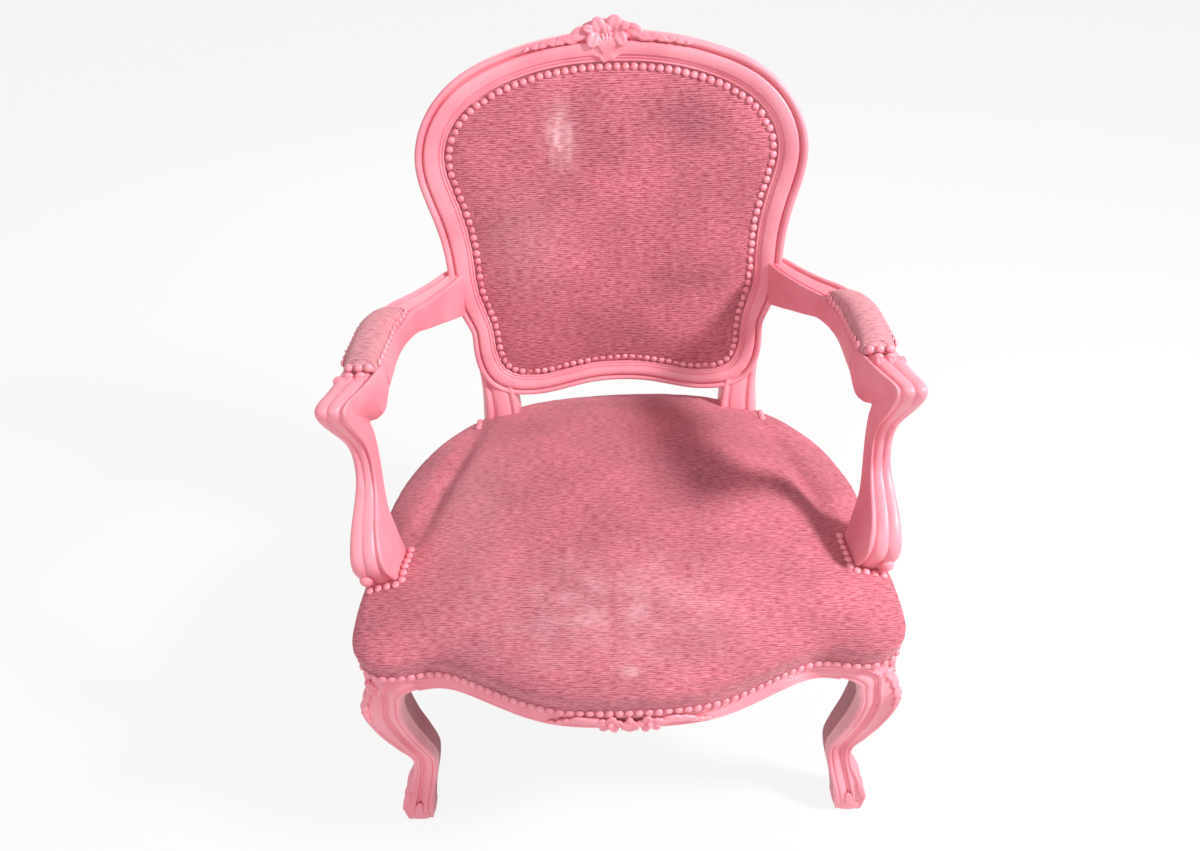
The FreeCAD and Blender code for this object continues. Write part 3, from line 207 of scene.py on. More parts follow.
def tube(points: Sequence[Vector], radii: Sequence[float], sides: int = 10) -> bmesh.types.BMesh:
    """A round rod along points, with its own radius at each."""
    askew = Vector((0.13, 0.21, 0.97))      # no rod of the chair runs this way
    skin = Skin()
    rings = []
    for index, point in enumerate(points):
        along = (points[min(index + 1, len(points) - 1)] - points[max(index - 1, 0)]).normalized()
        side = along.cross(askew).normalized()
        other = along.cross(side).normalized()
        rings.append([point + (side * math.cos(turn) + other * math.sin(turn)) * radii[index]
                      for turn in (math.tau * step / sides for step in range(sides))])
    skin.run(rings)
    return skin.bm


class Carving:
    """Petals, leaves and flutes that a carver leaves standing on a surface."""

    def __init__(self, spot: Callable[[float, float, float], Vector]) -> None:
        """Starts with nothing carved.

        Args:
            spot: Gives the point at two distances along the surface and one out of it, in mm.
        """
        self.spot = spot
        self.bm = bmesh.new()

    def axes(self, a: float, b: float) -> tuple[Vector, Vector, Vector]:
        """Unit vectors along the surface and out of it at a place."""
        here = self.spot(a, b, 0.0)
        right = (self.spot(a + 0.5, b, 0.0) - here).normalized()
        up = (self.spot(a, b + 0.5, 0.0) - here).normalized()
        out = right.cross(up).normalized()
        if out.dot(self.spot(a, b, 1.0) - here) < 0.0:
            out = -out
        return right, up, out

    def petal(self, a: float, b: float, size: tuple[float, float, float], turn: float = 0.0,
              level: float = 0.0, point: float = 0.35, dish: float = 0.0, pitch: float = 0.0) -> None:
        """Adds a rounded petal, lobe or bud.

        Args:
            a: Place along the surface.
            b: Place across it.
            size: Length, width and rise.
            turn: Way the petal points, in degrees from the first direction.
            level: How far its middle stands out.
            point: How much its far end narrows.
            dish: Depth of the hollow along its middle, as a share of the rise.
            pitch: How far its tip leans out, in degrees.
        """
        right, up, out = self.axes(a, b)
        angle, lean = math.radians(turn), math.radians(pitch)
        flat = right * math.cos(angle) + up * math.sin(angle)
        side = out.cross(flat).normalized()
        long = flat * math.cos(lean) + out * math.sin(lean)
        rise = long.cross(side).normalized()
        middle = self.spot(a, b, level)
        lobe = bmesh.new()
        bmesh.ops.create_uvsphere(lobe, u_segments=20, v_segments=12, radius=1.0)
        for vert in lobe.verts:
            x, y, z = vert.co
            narrow = 1.0 - point * max(0.0, x) ** 1.5
            sunk = dish * math.exp(-(y / 0.38) ** 2) * ease((1.0 - x) / 0.5) if z > 0.0 else 0.0
            vert.co = (middle + long * (x * size[0] / 2) + side * (y * narrow * size[1] / 2)
                       + rise * ((z - sunk) * size[2]))
        add_bm(self.bm, lobe)

    def flute(self, places: Sequence[tuple[float, float, float]], thick: float, thin: float) -> None:
        """Adds a round rib through places, each two distances along and one out, from thin to thick."""
        rows = fair(places, 5)
        last = len(rows) - 1
        points = [self.spot(*row) for row in rows]
        radii = [lerp(thin, thick, math.sin(math.pi * (0.08 + 0.74 * index / last)) ** 0.8)
                 for index in range(last + 1)]
        add_bm(self.bm, tube(points, radii, 10))

    def spray(self, places: Sequence[tuple[float, float]], widths: Sequence[float], level: float) -> None:
        """Adds a leaf of overlapping lobes that shrink along its way."""
        for number, ((a, b), width) in enumerate(zip(places, widths)):
            ahead = places[min(number + 1, len(places) - 1)]
            before = places[max(number - 1, 0)]
            turn = math.degrees(math.atan2(ahead[1] - before[1], ahead[0] - before[0]))
            lean = 16.0 if number % 2 else -12.0
            self.petal(a, b, (width * 1.9, width, 3.0), turn + lean, level, 0.75, 0.35, 8.0)


# Publishing

def evaluated_mesh(piece: bpy.types.Object) -> bpy.types.Mesh:
    """Mesh of a piece with its modifiers applied."""
    bpy.context.view_layer.update()
    graph = bpy.context.evaluated_depsgraph_get()
    return bpy.data.meshes.new_from_object(piece.evaluated_get(graph))


def object_from(bm: bmesh.types.BMesh, name: str) -> bpy.types.Object:
    """An object in the scene from a mesh in metres; the mesh in work is freed."""
    mesh = bpy.data.meshes.new(name)
    bm.to_mesh(mesh)
    bm.free()
    piece = bpy.data.objects.new(name, mesh)
    bpy.context.scene.collection.objects.link(piece)
    return piece


def bake_modifiers(piece: bpy.types.Object) -> None:
    """Applies all modifiers of a piece to its mesh."""
    mesh = evaluated_mesh(piece)
    old = piece.data
    piece.modifiers.clear()
    piece.data = mesh
    mesh.name = piece.name
    bpy.data.meshes.remove(old)


@dataclass(frozen=True)
class Place:
    """Where a piece belongs in the chair."""

    slot: str
    replaces: tuple[str, ...] = ()


def publish(bm: bmesh.types.BMesh, name: str, material: bpy.types.Material, place: Place,
            crease: float = 38.0, fuse: float = 0.0, smooth_rounds: int = 0) -> bpy.types.Object:
    """Makes a finished piece from a mesh in millimetres.

    Args:
        bm: The mesh, freed here.
        name: The piece's name.
        material: Its finish.
        place: Its material slot, which this function does not read, and the CAD nodes that it stands for,
            which are hidden.
        crease: Edges sharper than this angle in degrees stay sharp.
        fuse: Voxel size in mm that melts overlapping forms into one skin, or 0.
        smooth_rounds: Rounds of smoothing after that.

    Returns:
        The object in the scene.
    """
    bmesh.ops.remove_doubles(bm, verts=bm.verts, dist=WELD)
    bmesh.ops.recalc_face_normals(bm, faces=bm.faces)
    bmesh.ops.scale(bm, vec=Vector((MM, MM, MM)), verts=bm.verts)
    piece = object_from(bm, name)
    if fuse:
        remesh = piece.modifiers.new("fuse", "REMESH")
        remesh.mode = "VOXEL"
        remesh.voxel_size = fuse * MM
        if smooth_rounds:
            soften = piece.modifiers.new("soften", "SMOOTH")
            soften.factor = 0.5
            soften.iterations = smooth_rounds
        bake_modifiers(piece)
    piece.data.materials.clear()
    piece.data.materials.append(material)
    piece.data.polygons.foreach_set("use_smooth", [True] * len(piece.data.polygons))
    piece.data.set_sharp_from_angle(angle=math.radians(crease))
    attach(piece, "root")
    if place.replaces:
        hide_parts(*place.replaces)
    LOG.info("%s: %d faces", name, len(piece.data.polygons))
    return piece


# Finishes

def linear(code: str) -> tuple[float, float, float, float]:
    """Linear colour of an sRGB hex value."""
    parts = [int(code[index:index + 2], 16) / 255 for index in (1, 3, 5)]
    return (*(part / 12.92 if part <= 0.04045 else ((part + 0.055) / 1.055) ** 2.4 for part in parts), 1.0)


def add_node(tree: bpy.types.NodeTree, kind: str, inputs: Optional[dict] = None,
             **settings: object) -> bpy.types.Node:
    """Adds a node, sets its settings, and fills its inputs with values or links.

    Args:
        tree: The material's node tree.
        kind: The node's type name.
        inputs: Values or output sockets by input name or number.
        settings: The node's own settings.

    Returns:
        The node.
    """
    node = tree.nodes.new(kind)
    for key, value in settings.items():
        setattr(node, key, value)
    for key, value in (inputs or {}).items():
        if isinstance(value, bpy.types.NodeSocket):
            tree.links.new(value, node.inputs[key])
        else:
            node.inputs[key].default_value = value
    return node


def new_material(name: str) -> tuple[bpy.types.Material, bpy.types.NodeTree, bpy.types.Node]:
    """An empty material with its tree and output."""
    material = bpy.data.materials.new(name)
    material.use_nodes = True
    material.node_tree.nodes.clear()
    return material, material.node_tree, add_node(material.node_tree, "ShaderNodeOutputMaterial")


def ramp(tree: bpy.types.NodeTree, factor: bpy.types.NodeSocket,
         stops: Sequence[tuple[float, tuple]]) -> bpy.types.NodeSocket:
    """Colour output of a ramp with the given stops."""
    node = add_node(tree, "ShaderNodeValToRGB", {"Fac": factor})
    elements = node.color_ramp.elements
    while len(elements) < len(stops):
        elements.new(0.5)
    for element, (position, colour) in zip(elements, stops):
        element.position = position
        element.color = colour
    return node.outputs["Color"]


@dataclass(frozen=True)
class SatinPaint:
    """Satin enamel, brushed over carved beech: soft sheen, faint brush marks, slightly uneven tone."""

    name: str = "satin_pink_enamel"
    colour: str = "#F29AA8"
    deep: str = "#E98898"
    roughness: float = 0.42

    def make(self) -> bpy.types.Material:
        """Builds the material."""
        material, tree, output = new_material(self.name)
        place = add_node(tree, "ShaderNodeTexCoord").outputs["Object"]
        # A hand-painted coat varies in tone over some centimetres
        tone = add_node(tree, "ShaderNodeTexNoise", {"Vector": place, "Scale": 14.0, "Detail": 3.0})
        colour = ramp(tree, tone.outputs["Fac"], [(0.35, linear(self.deep)), (0.62, linear(self.colour))])
        # Brush marks 1.5 mm wide and filled grain show as a very low relief
        marks = add_node(tree, "ShaderNodeTexNoise", {"Vector": place, "Scale": 420.0, "Detail": 4.0,
                                                      "Roughness": 0.6})
        lumps = add_node(tree, "ShaderNodeTexNoise", {"Vector": place, "Scale": 90.0, "Detail": 2.0})
        both = add_node(tree, "ShaderNodeMath", {0: marks.outputs["Fac"], 1: 0.35, 2: lumps.outputs["Fac"]},
                        operation="MULTIPLY_ADD")
        bump = add_node(tree, "ShaderNodeBump", {"Height": both.outputs[0], "Distance": 0.0004,
                                                 "Strength": 0.35})
        rough = add_node(tree, "ShaderNodeMapRange", {
            "Value": lumps.outputs["Fac"], "To Min": self.roughness - 0.06, "To Max": self.roughness + 0.08})
        shader = add_node(tree, "ShaderNodeBsdfPrincipled", {
            "Base Color": colour, "Roughness": rough.outputs[0], "IOR": 1.5,
            "Normal": bump.outputs["Normal"]})
        tree.links.new(shader.outputs[0], output.inputs["Surface"])
        return material


@dataclass(frozen=True)
class Chenille:
    """Woven chenille, worn and faded: short pile in cross ribs, with pale rubbed spots, a painted highlight,
    painted shade in the rib grooves and painted shadows.

    It reads the point attribute weave: metres along the ribs, metres across them, and a value for wear,
    painted shade and painted highlight.
    """

    name: str = "rose_chenille_wear_and_painted_light"
    # Lit, middle and shaded tones of the cloth, spread over the rib height as painted light and painted shade
    light: str = "#DE8C99"
    middle: str = "#C96878"
    dark: str = "#9A4353"
    faded_and_highlight: str = "#E9B3B8"
    rib_pitch: float = 0.0026

    def make(self) -> bpy.types.Material:
        """Builds the material."""
        material, tree, output = new_material(self.name)
        weave = add_node(tree, "ShaderNodeAttribute", attribute_name="weave")
        split = add_node(tree, "ShaderNodeSeparateXYZ", {0: weave.outputs["Vector"]})
        along, across, wear_and_painted_light = split.outputs[0], split.outputs[1], split.outputs[2]
        # Dashes about 14 mm long and 2 mm wide: the ribs break up in the worn pile
        dash_place = add_node(tree, "ShaderNodeCombineXYZ", {
            0: self.times(tree, along, 105.0), 1: self.times(tree, across, 430.0)}).outputs[0]
        dashes = add_node(tree, "ShaderNodeTexNoise", {"Vector": dash_place, "Scale": 1.0, "Detail": 2.5,
                                                       "Roughness": 0.55})
        fine_place = add_node(tree, "ShaderNodeCombineXYZ", {
            0: self.times(tree, along, 520.0), 1: self.times(tree, across, 900.0)}).outputs[0]
        pile = add_node(tree, "ShaderNodeTexNoise", {"Vector": fine_place, "Scale": 1.0, "Detail": 3.0,
                                                     "Roughness": 0.7})
        # The ribs waver, so the wave across them is pushed by a slow noise
        sway = add_node(tree, "ShaderNodeTexNoise", {"Vector": dash_place, "Scale": 0.12, "Detail": 1.0})
        pushed = add_node(tree, "ShaderNodeMath", {0: sway.outputs["Fac"], 1: 7.0,
                                                   2: self.times(tree, across, math.tau / self.rib_pitch)},
                          operation="MULTIPLY_ADD")
        wave = add_node(tree, "ShaderNodeMath", {0: pushed.outputs[0]}, operation="SINE")
        rib = add_node(tree, "ShaderNodeMapRange", {"Value": wave.outputs[0], "From Min": -1.0})
        height = add_node(tree, "ShaderNodeMath", {0: rib.outputs[0], 1: 0.22, 2: dashes.outputs["Fac"]},
                          operation="MULTIPLY_ADD")
        height = add_node(tree, "ShaderNodeMath", {0: pile.outputs["Fac"], 1: 0.55, 2: height.outputs[0]},
                          operation="MULTIPLY_ADD")
        # The rib and pile height runs the colour from the shaded through the middle to the lit tone: painted
        # shade in the grooves and painted light on the ribs' tops
        tone = add_node(tree, "ShaderNodeMapRange", {"Value": height.outputs[0], "From Min": 0.60,
                                                     "From Max": 1.16})
        colour = ramp(tree, tone.outputs[0], [(0.1, linear(self.dark)), (0.42, linear(self.middle)),
                                              (0.9, linear(self.light))])
        # Large soft stains and rubbed patches some centimetres across
        stain_place = add_node(tree, "ShaderNodeCombineXYZ", {
            0: self.times(tree, along, 9.0), 1: self.times(tree, across, 11.0)}).outputs[0]
        stains = add_node(tree, "ShaderNodeTexNoise", {"Vector": stain_place, "Scale": 1.0, "Detail": 4.0,
                                                       "Roughness": 0.6})
        darker = add_node(tree, "ShaderNodeMapRange", {"Value": stains.outputs["Fac"], "From Min": 0.35,
                                                       "From Max": 0.7, "To Min": 0.80, "To Max": 1.08})
        # A value below 0 darkens the cloth, as painted shadows and a darker patch; above 0 it fades it, as
        # rubbed or bleached wear and a painted highlight
        shade_and_dark_patches = add_node(tree, "ShaderNodeMapRange", {"Value": wear_and_painted_light, "From Min": -1.0, "From Max": 0.0,
                                                     "To Min": 0.66, "To Max": 1.0})
        shade = add_node(tree, "ShaderNodeMath", {0: darker.outputs[0], 1: shade_and_dark_patches.outputs[0]},
                         operation="MULTIPLY")
        colour = add_node(tree, "ShaderNodeVectorMath", {0: colour, "Scale": shade.outputs[0]},
                          operation="SCALE").outputs[0]
        # Rubbed wear and the painted highlight both fade the colour towards a pale tone
        rubbed_and_highlight = add_node(tree, "ShaderNodeMath", {0: wear_and_painted_light, 1: dashes.outputs["Fac"]}, operation="MULTIPLY",
                          use_clamp=True)
        colour = add_node(tree, "ShaderNodeMix", {"Factor": rubbed_and_highlight.outputs[0], 6: colour,
                                                  7: linear(self.faded_and_highlight)}, data_type="RGBA").outputs[2]
        bump = add_node(tree, "ShaderNodeBump", {"Height": height.outputs[0], "Distance": 0.0011,
                                                 "Strength": 0.9})
        shader = add_node(tree, "ShaderNodeBsdfPrincipled", {
            "Base Color": colour, "Roughness": 0.95, "IOR": 1.45, "Specular IOR Level": 0.25,
            "Sheen Weight": 0.25, "Sheen Roughness": 0.5, "Sheen Tint": linear("#FFD9DC"),
            "Normal": bump.outputs["Normal"]})
        tree.links.new(shader.outputs[0], output.inputs["Surface"])
        return material

    @staticmethod
    def times(tree: bpy.types.NodeTree, value: bpy.types.NodeSocket, factor: float) -> bpy.types.NodeSocket:
        """A value times a fixed number."""
        return add_node(tree, "ShaderNodeMath", {0: value, 1: factor}, operation="MULTIPLY").outputs[0]


@dataclass(frozen=True)
class PlainWeave:
    """Jute or lining cloth: threads over and under at a real pitch, dull and slightly uneven."""

    name: str
    light: str
    dark: str
    pitch: float
    relief: float = 0.0004
    flat: bool = False

    def make(self) -> bpy.types.Material:
        """Builds the material; a flat cloth reads its threads' places from the attribute weave."""
        material, tree, output = new_material(self.name)
        if self.flat:
            place = add_node(tree, "ShaderNodeAttribute", attribute_name="weave").outputs["Vector"]
        else:
            place = add_node(tree, "ShaderNodeTexCoord").outputs["Object"]
        # Brick courses one thread high give the over and under of a plain weave
        threads = add_node(tree, "ShaderNodeTexBrick", {
            "Vector": place, "Scale": 1.0 / self.pitch, "Mortar Size": 0.06, "Mortar Smooth": 1.0,
            "Color1": linear(self.light), "Color2": linear(self.dark), "Mortar": linear(self.dark),
            "Brick Width": 1.0, "Row Height": 0.5})
        # The spun threads swell and thin over about two pitches
        fray = add_node(tree, "ShaderNodeTexNoise", {
            "Vector": place, "Scale": 0.5 / self.pitch, "Detail": 3.0})
        height = add_node(tree, "ShaderNodeMath", {
            0: threads.outputs["Fac"], 1: -0.6, 2: fray.outputs["Fac"]}, operation="MULTIPLY_ADD")
        bump = add_node(tree, "ShaderNodeBump", {"Height": height.outputs[0], "Distance": self.relief})
        shader = add_node(tree, "ShaderNodeBsdfPrincipled", {
            "Base Color": threads.outputs["Color"], "Roughness": 0.93, "IOR": 1.45,
            "Specular IOR Level": 0.2, "Normal": bump.outputs["Normal"]})
        tree.links.new(shader.outputs[0], output.inputs["Surface"])
        return material


@dataclass(frozen=True)
class SawnBeech:
    """Unpainted beech, sawn and planed: pale brown with short darker flecks along the grain."""

    name: str = "sawn_beech"
    light: str = "#D2AE84"
    dark: str = "#B58B60"

    def make(self) -> bpy.types.Material:
        """Builds the material."""
        material, tree, output = new_material(self.name)
        place = add_node(tree, "ShaderNodeTexCoord").outputs["Object"]
        # Grain lines about 1.5 mm apart and flecks 3 mm long
        grain_place = add_node(tree, "ShaderNodeMapping", {"Vector": place, "Scale": (60.0, 60.0, 700.0)})
        grain = add_node(tree, "ShaderNodeTexNoise", {"Vector": grain_place.outputs[0], "Scale": 1.0,
                                                      "Detail": 4.0, "Distortion": 0.4})
        colour = ramp(tree, grain.outputs["Fac"], [(0.35, linear(self.dark)), (0.6, linear(self.light))])
        bump = add_node(tree, "ShaderNodeBump", {"Height": grain.outputs["Fac"], "Distance": 0.0003})
        shader = add_node(tree, "ShaderNodeBsdfPrincipled", {
            "Base Color": colour, "Roughness": 0.7, "IOR": 1.5, "Normal": bump.outputs["Normal"]})
        tree.links.new(shader.outputs[0], output.inputs["Surface"])
        return material


@dataclass(frozen=True)
class DrawnSteel:
    """Drawn mild steel, slightly browned: grey metal with a dull scatter."""

    name: str = "browned_steel"

    def make(self) -> bpy.types.Material:
        """Builds the material."""
        material, tree, output = new_material(self.name)
        place = add_node(tree, "ShaderNodeTexCoord").outputs["Object"]
        spots = add_node(tree, "ShaderNodeTexNoise", {"Vector": place, "Scale": 260.0, "Detail": 3.0})
        colour = ramp(tree, spots.outputs["Fac"], [(0.35, linear("#6E6660")), (0.65, linear("#8F8F92"))])
        rough = add_node(tree, "ShaderNodeMapRange", {"Value": spots.outputs["Fac"], "To Min": 0.3,
                                                      "To Max": 0.5})
        shader = add_node(tree, "ShaderNodeBsdfPrincipled", {
            "Base Color": colour, "Metallic": 1.0, "Roughness": rough.outputs[0]})
        tree.links.new(shader.outputs[0], output.inputs["Surface"])
        return material


class Finish(Enum):
    """The chair's finishes."""

    PAINT = SatinPaint()
    NAIL = SatinPaint(name="painted_nail_heads", roughness=0.3)
    CLOTH = Chenille()
    HESSIAN = PlainWeave("jute_hessian", "#B99A6B", "#8A6D45", 0.0022)
    SCRIM = PlainWeave("jute_scrim", "#B99A6B", "#8A6D45", 0.0022, flat=True)
    # Threads 0.5 mm apart are too fine to show, so both cottons are drawn about twice as coarse
    LINING = PlainWeave("black_cotton_lining", "#2B2A2B", "#171617", 0.0011, 0.0002, flat=True)
    BACKING = PlainWeave("rose_cotton_backing", "#C9707E", "#AD5566", 0.0014, 0.0003, flat=True)
    BEECH = SawnBeech()
    STEEL = DrawnSteel()


class Materials:
    """Makes each finish once and hands it out."""

    def __init__(self) -> None:
        """Starts with nothing made."""
        self.made: dict[Finish, bpy.types.Material] = {}

    def of(self, finish: Finish) -> bpy.types.Material:
        """The material of a finish."""
        if finish not in self.made:
            self.made[finish] = finish.value.make()
        return self.made[finish]


MATERIALS = Materials()


# Seat plan

@dataclass
class SeatPlan:
    """The horseshoe plan of the seat's rails, with a serpentine front."""

    half_width: float = 306.0
    front_y: float = -299.0
    rear_y: float = 222.0
    bow: float = 57.0
    hollow_x: float = 222.0
    fullness: float = 1.6
    ear_x: float = 260.0
    ear_swell: float = 6.0
    corner: tuple[float, float] = (296.0, -236.0)
    shoulder_y: float = -200.0
    side_taper: float = 7.0
    bend_y: float = -15.0
    quarter: tuple[float, float] = (262.0, 102.0)
    rear_corner: tuple[float, float] = (190.0, 180.0)
    corner_count: float = 5.55
    loop: Loop = field(init=False)

    def __post_init__(self) -> None:
        """Fits the curve."""
        hollow_y = self.front_y + self.bow
        right = [(x, self.bow_y(x)) for x in (0.0, self.hollow_x * 0.42, self.hollow_x * 0.76)]
        right += [(self.hollow_x, hollow_y), (self.ear_x, hollow_y - self.ear_swell), self.corner,
                  (self.half_width, self.shoulder_y),
                  (self.half_width - self.side_taper / 2, (self.shoulder_y + self.bend_y) / 2),
                  (self.half_width - self.side_taper, self.bend_y),
                  self.quarter, self.rear_corner, (0.0, self.rear_y)]
        left = [(-x, y) for x, y in reversed(right[1:-1])]
        self.loop = Loop(right + left)

    def bow_y(self, x: float) -> float:
        """Rail face along the bow, between the hollows."""
        share = min(abs(x) / self.hollow_x, 1.0) ** self.fullness
        return self.front_y + self.bow * math.sin(math.pi / 2 * share) ** 2

    def point(self, count: float, out: float, z: float) -> Vector:
        """Point of the plan moved outwards, at a height."""
        place, normal = self.loop.at(count), self.normal(count)
        return Vector((place.x + normal.x * out, place.y + normal.y * out, z))

    def normal(self, count: float) -> Vector:
        """Outward direction in plan."""
        along = self.loop.direction(count)
        return Vector((along.y, -along.x, 0.0))

    def count_where(self, axis: int, value: float, low: float, high: float) -> float:
        """Count between low and high where the plan crosses a value of x (axis 0) or y (axis 1)."""
        rising = self.loop.at(high)[axis] > self.loop.at(low)[axis]
        for _ in range(40):
            middle = (low + high) / 2
            if (self.loop.at(middle)[axis] < value) == rising:
                low = middle
            else:
                high = middle
        return (low + high) / 2


PLAN = SeatPlan()


# Seat frame

@dataclass
class MouldedEdge:
    """The moulding that runs along the rails' lower edge and down the legs' inner edges."""

    width: float = 28.0
    margin: float = 1.5
    # Offset from the edge and relief: bead, quirk, broad roll, hollow, two fine fillets and a second bead
    shape: tuple[Row, ...] = (
        (0.0, -2.0), (0.0, 0.6), (0.5, 1.9), (1.4, 2.9), (2.8, 3.6), (4.4, 3.6), (5.6, 3.0), (6.3, 2.2),
        (6.8, 1.5), (7.3, 2.1), (8.2, 2.9), (10.0, 3.2), (12.0, 2.7), (14.0, 1.6), (16.0, 0.2),
        (17.6, -1.0), (18.6, -1.4), (19.2, -0.9), (19.7, 0.3), (20.4, 0.4), (21.0, -0.6), (21.9, -0.7),
        (22.6, 0.4), (23.3, 1.9), (24.4, 2.9), (25.6, 2.9), (26.6, 2.1), (27.2, 0.9), (28.0, 0.5))
    # Shares of the plain face beyond the moulding, and its relief there
    plain: tuple[Row, ...] = ((0.3, 0.9), (0.7, 1.0), (1.0, 0.2))

    def profile(self, room: float) -> list[tuple[float, float]]:
        """Offsets from the edge and reliefs, fitted to the room there is.

        Args:
            room: Distance from the edge to the far side of the face, in mm.

        Returns:
            Pairs of offset and relief; the last is on the far side.
        """
        scale = min(1.0, room / (self.width + self.margin))
        points = [(offset * scale, relief * lerp(0.75, 1.0, scale)) for offset, relief in self.shape]
        start = points[-1][0]
        return points + [(lerp(start, room, share), relief) for share, relief in self.plain]


@dataclass
class SeatFrame:
    """Rails, front legs and the leg corners of the seat's frame."""

    bottom: float = 312.0
    moulding_top: float = 335.0
    top: float = 352.0
    rail_width: float = 38.0
    front_joint: float = 240.0
    side_joint: float = -165.0
    post_joint: float = 135.0
    rear_joint: float = 140.0
    arch: float = 31.0
    knee_x: float = 317.0
    knee_y: float = -240.0
    splay: float = 0.85
    front_run: float = 75.0         # along the leg's front face, from its ridge to the rail's joint
    side_run: float = 60.0          # the same along its side face
    blend_z: float = 262.0          # from here up the leg's flat faces turn into the rail's curved ones
    blend_height: float = 52.0
    strip_foot: float = 1.2         # the moulded faces end inside the foot pad, over the floor
    edge: MouldedEdge = field(default_factory=MouldedEdge)
    # Height and growth past the leg's section, from the top of the foot pad to the floor
    foot_rows: tuple[Row, ...] = (
        (30.0, -5.0), (26.0, -1.0), (20.0, 1.6), (13.0, 2.6), (6.0, 2.0), (1.5, 0.2), (0.0, -2.5))
    # Height, x of the outer corner and side of the leg's section
    leg_rows: tuple[Row, ...] = (
        (334.0, 309.5, 52.0), (296.0, 314.0, 51.0), (256.0, 317.0, 46.0), (205.0, 309.0, 41.5),
        (157.0, 297.0, 37.0), (115.0, 286.0, 31.0), (84.0, 289.5, 31.0), (40.0, 308.5, 40.0),
        (0.0, 308.0, 33.0))

    def __post_init__(self) -> None:
        """Works out the joints' places on the plan and the leg's fine rows."""
        self.front_count = PLAN.count_where(0, self.front_joint, 3.0, 5.0)
        self.corner_count = PLAN.corner_count
        self.side_count = PLAN.count_where(1, self.side_joint, 6.0, 7.5)
        self.post_count = PLAN.count_where(1, self.post_joint, 9.0, 10.0)
        self.rear_count = PLAN.count_where(0, self.rear_joint, 10.0, 11.0)
        fine = fair(self.leg_rows, 12)
        self.heights = np.array([row[0] for row in reversed(fine)])
        self.outers = np.array([row[1] for row in reversed(fine)])
        self.sides = np.array([row[2] for row in reversed(fine)])

    def leg_at(self, z: float) -> tuple[Vector, float]:
        """Outer corner and side of the leg's section at a height."""
        x = float(np.interp(z, self.heights, self.outers))
        side = float(np.interp(z, self.heights, self.sides))
        return Vector((x, self.knee_y + self.splay * (self.knee_x - x), z)), side

    def rail_ring(self, count: float) -> list[Vector]:
        """Section of a rail at a place of the plan."""
        ring = [PLAN.point(count, relief, self.bottom + offset)
                for offset, relief in self.edge.profile(self.moulding_top - self.bottom)]
        ring += [PLAN.point(count, 0.0, self.top - 1.5), PLAN.point(count, -1.5, self.top),
                 PLAN.point(count, -self.rail_width, self.top),
                 PLAN.point(count, -self.rail_width, self.bottom)]
        return ring

    def rail(self, start: float, end: float, pitch: float = 5.0) -> bmesh.types.BMesh:
        """A moulded rail between two places of the plan."""
        skin = Skin()
        skin.run([self.rail_ring(count) for count in PLAN.loop.evenly(pitch, start, end)])
        return skin.bm

    def face_point(self, s: float, z: float, deep: float, side_face: bool) -> Vector:
        """A point of the leg's front or side face.

        Args:
            s: Distance in mm from the corner ridge along the face.
            z: Height.
            deep: Distance into the wood; negative stands out.
            side_face: True for the face that looks outwards, False for the front one.

        Returns:
            The point, blended from the leg's flat face into the rail's curved one.
        """
        corner, _ = self.leg_at(z)
        if side_face:
            leg = corner + Vector((-deep, s, 0.0))
            count = self.corner_count + s / self.side_run * (self.side_count - self.corner_count)
        else:
            leg = corner + Vector((-s, deep, 0.0))
            count = self.corner_count - s / self.front_run * (self.corner_count - self.front_count)
        rail = PLAN.point(count, -deep, z)
        return leg.lerp(rail, ease((z - self.blend_z) / self.blend_height))

    def leg_strip(self, side_face: bool) -> Iterable[list[Vector]]:
        """Rings of one moulded face of the leg, from the rail's joint down to the foot."""
        run = self.side_run if side_face else self.front_run
        spring = self.bottom - self.arch
        _, side = self.leg_at(spring)
        stations: list[tuple[float, float, float, float]] = []
        arch_steps = 18
        for step in range(arch_steps + 1):
            turn = math.pi / 2 * step / arch_steps
            edge_s = run - (run - side) * math.sin(turn)
            edge_z = spring + self.arch * math.cos(turn)
            lean = math.pi / 2 - turn
            reach_up = (self.moulding_top - spring) / max(math.sin(lean), 1e-6)
            reach_in = run / max(math.cos(lean), 1e-6)
            reach = min(reach_up, reach_in)
            stations.append((edge_s, edge_z, run - reach * math.cos(lean), spring + reach * math.sin(lean)))
        for z in np.linspace(spring, self.strip_foot, 64)[1:]:
            stations.append((self.leg_at(float(z))[1], float(z), 0.0, float(z)))
        for edge_s, edge_z, far_s, far_z in stations:
            room = math.hypot(far_s - edge_s, far_z - edge_z)
            ring = []
            # The moulding dies out into the foot
            fade = ease((edge_z - 4.0) / 26.0)
            for offset, relief in self.edge.profile(room):
                s = lerp(edge_s, far_s, offset / room)
                z = lerp(edge_z, far_z, offset / room)
                ring.append(self.face_point(s, z, 2.0 - relief * fade, side_face))
            deep = lerp(self.leg_at(edge_z)[1], self.rail_width,
                        ease((edge_z - self.blend_z) / self.blend_height))
            ring.append(self.face_point(far_s + 1.0, far_z, 6.0, side_face))
            ring.append(self.face_point(lerp(edge_s, far_s, 0.6), lerp(edge_z, far_z, 0.6), deep, side_face))
            ring.append(self.face_point(edge_s, edge_z, deep, side_face))
            ring.append(self.face_point(edge_s, edge_z, 5.0, side_face))
            yield ring

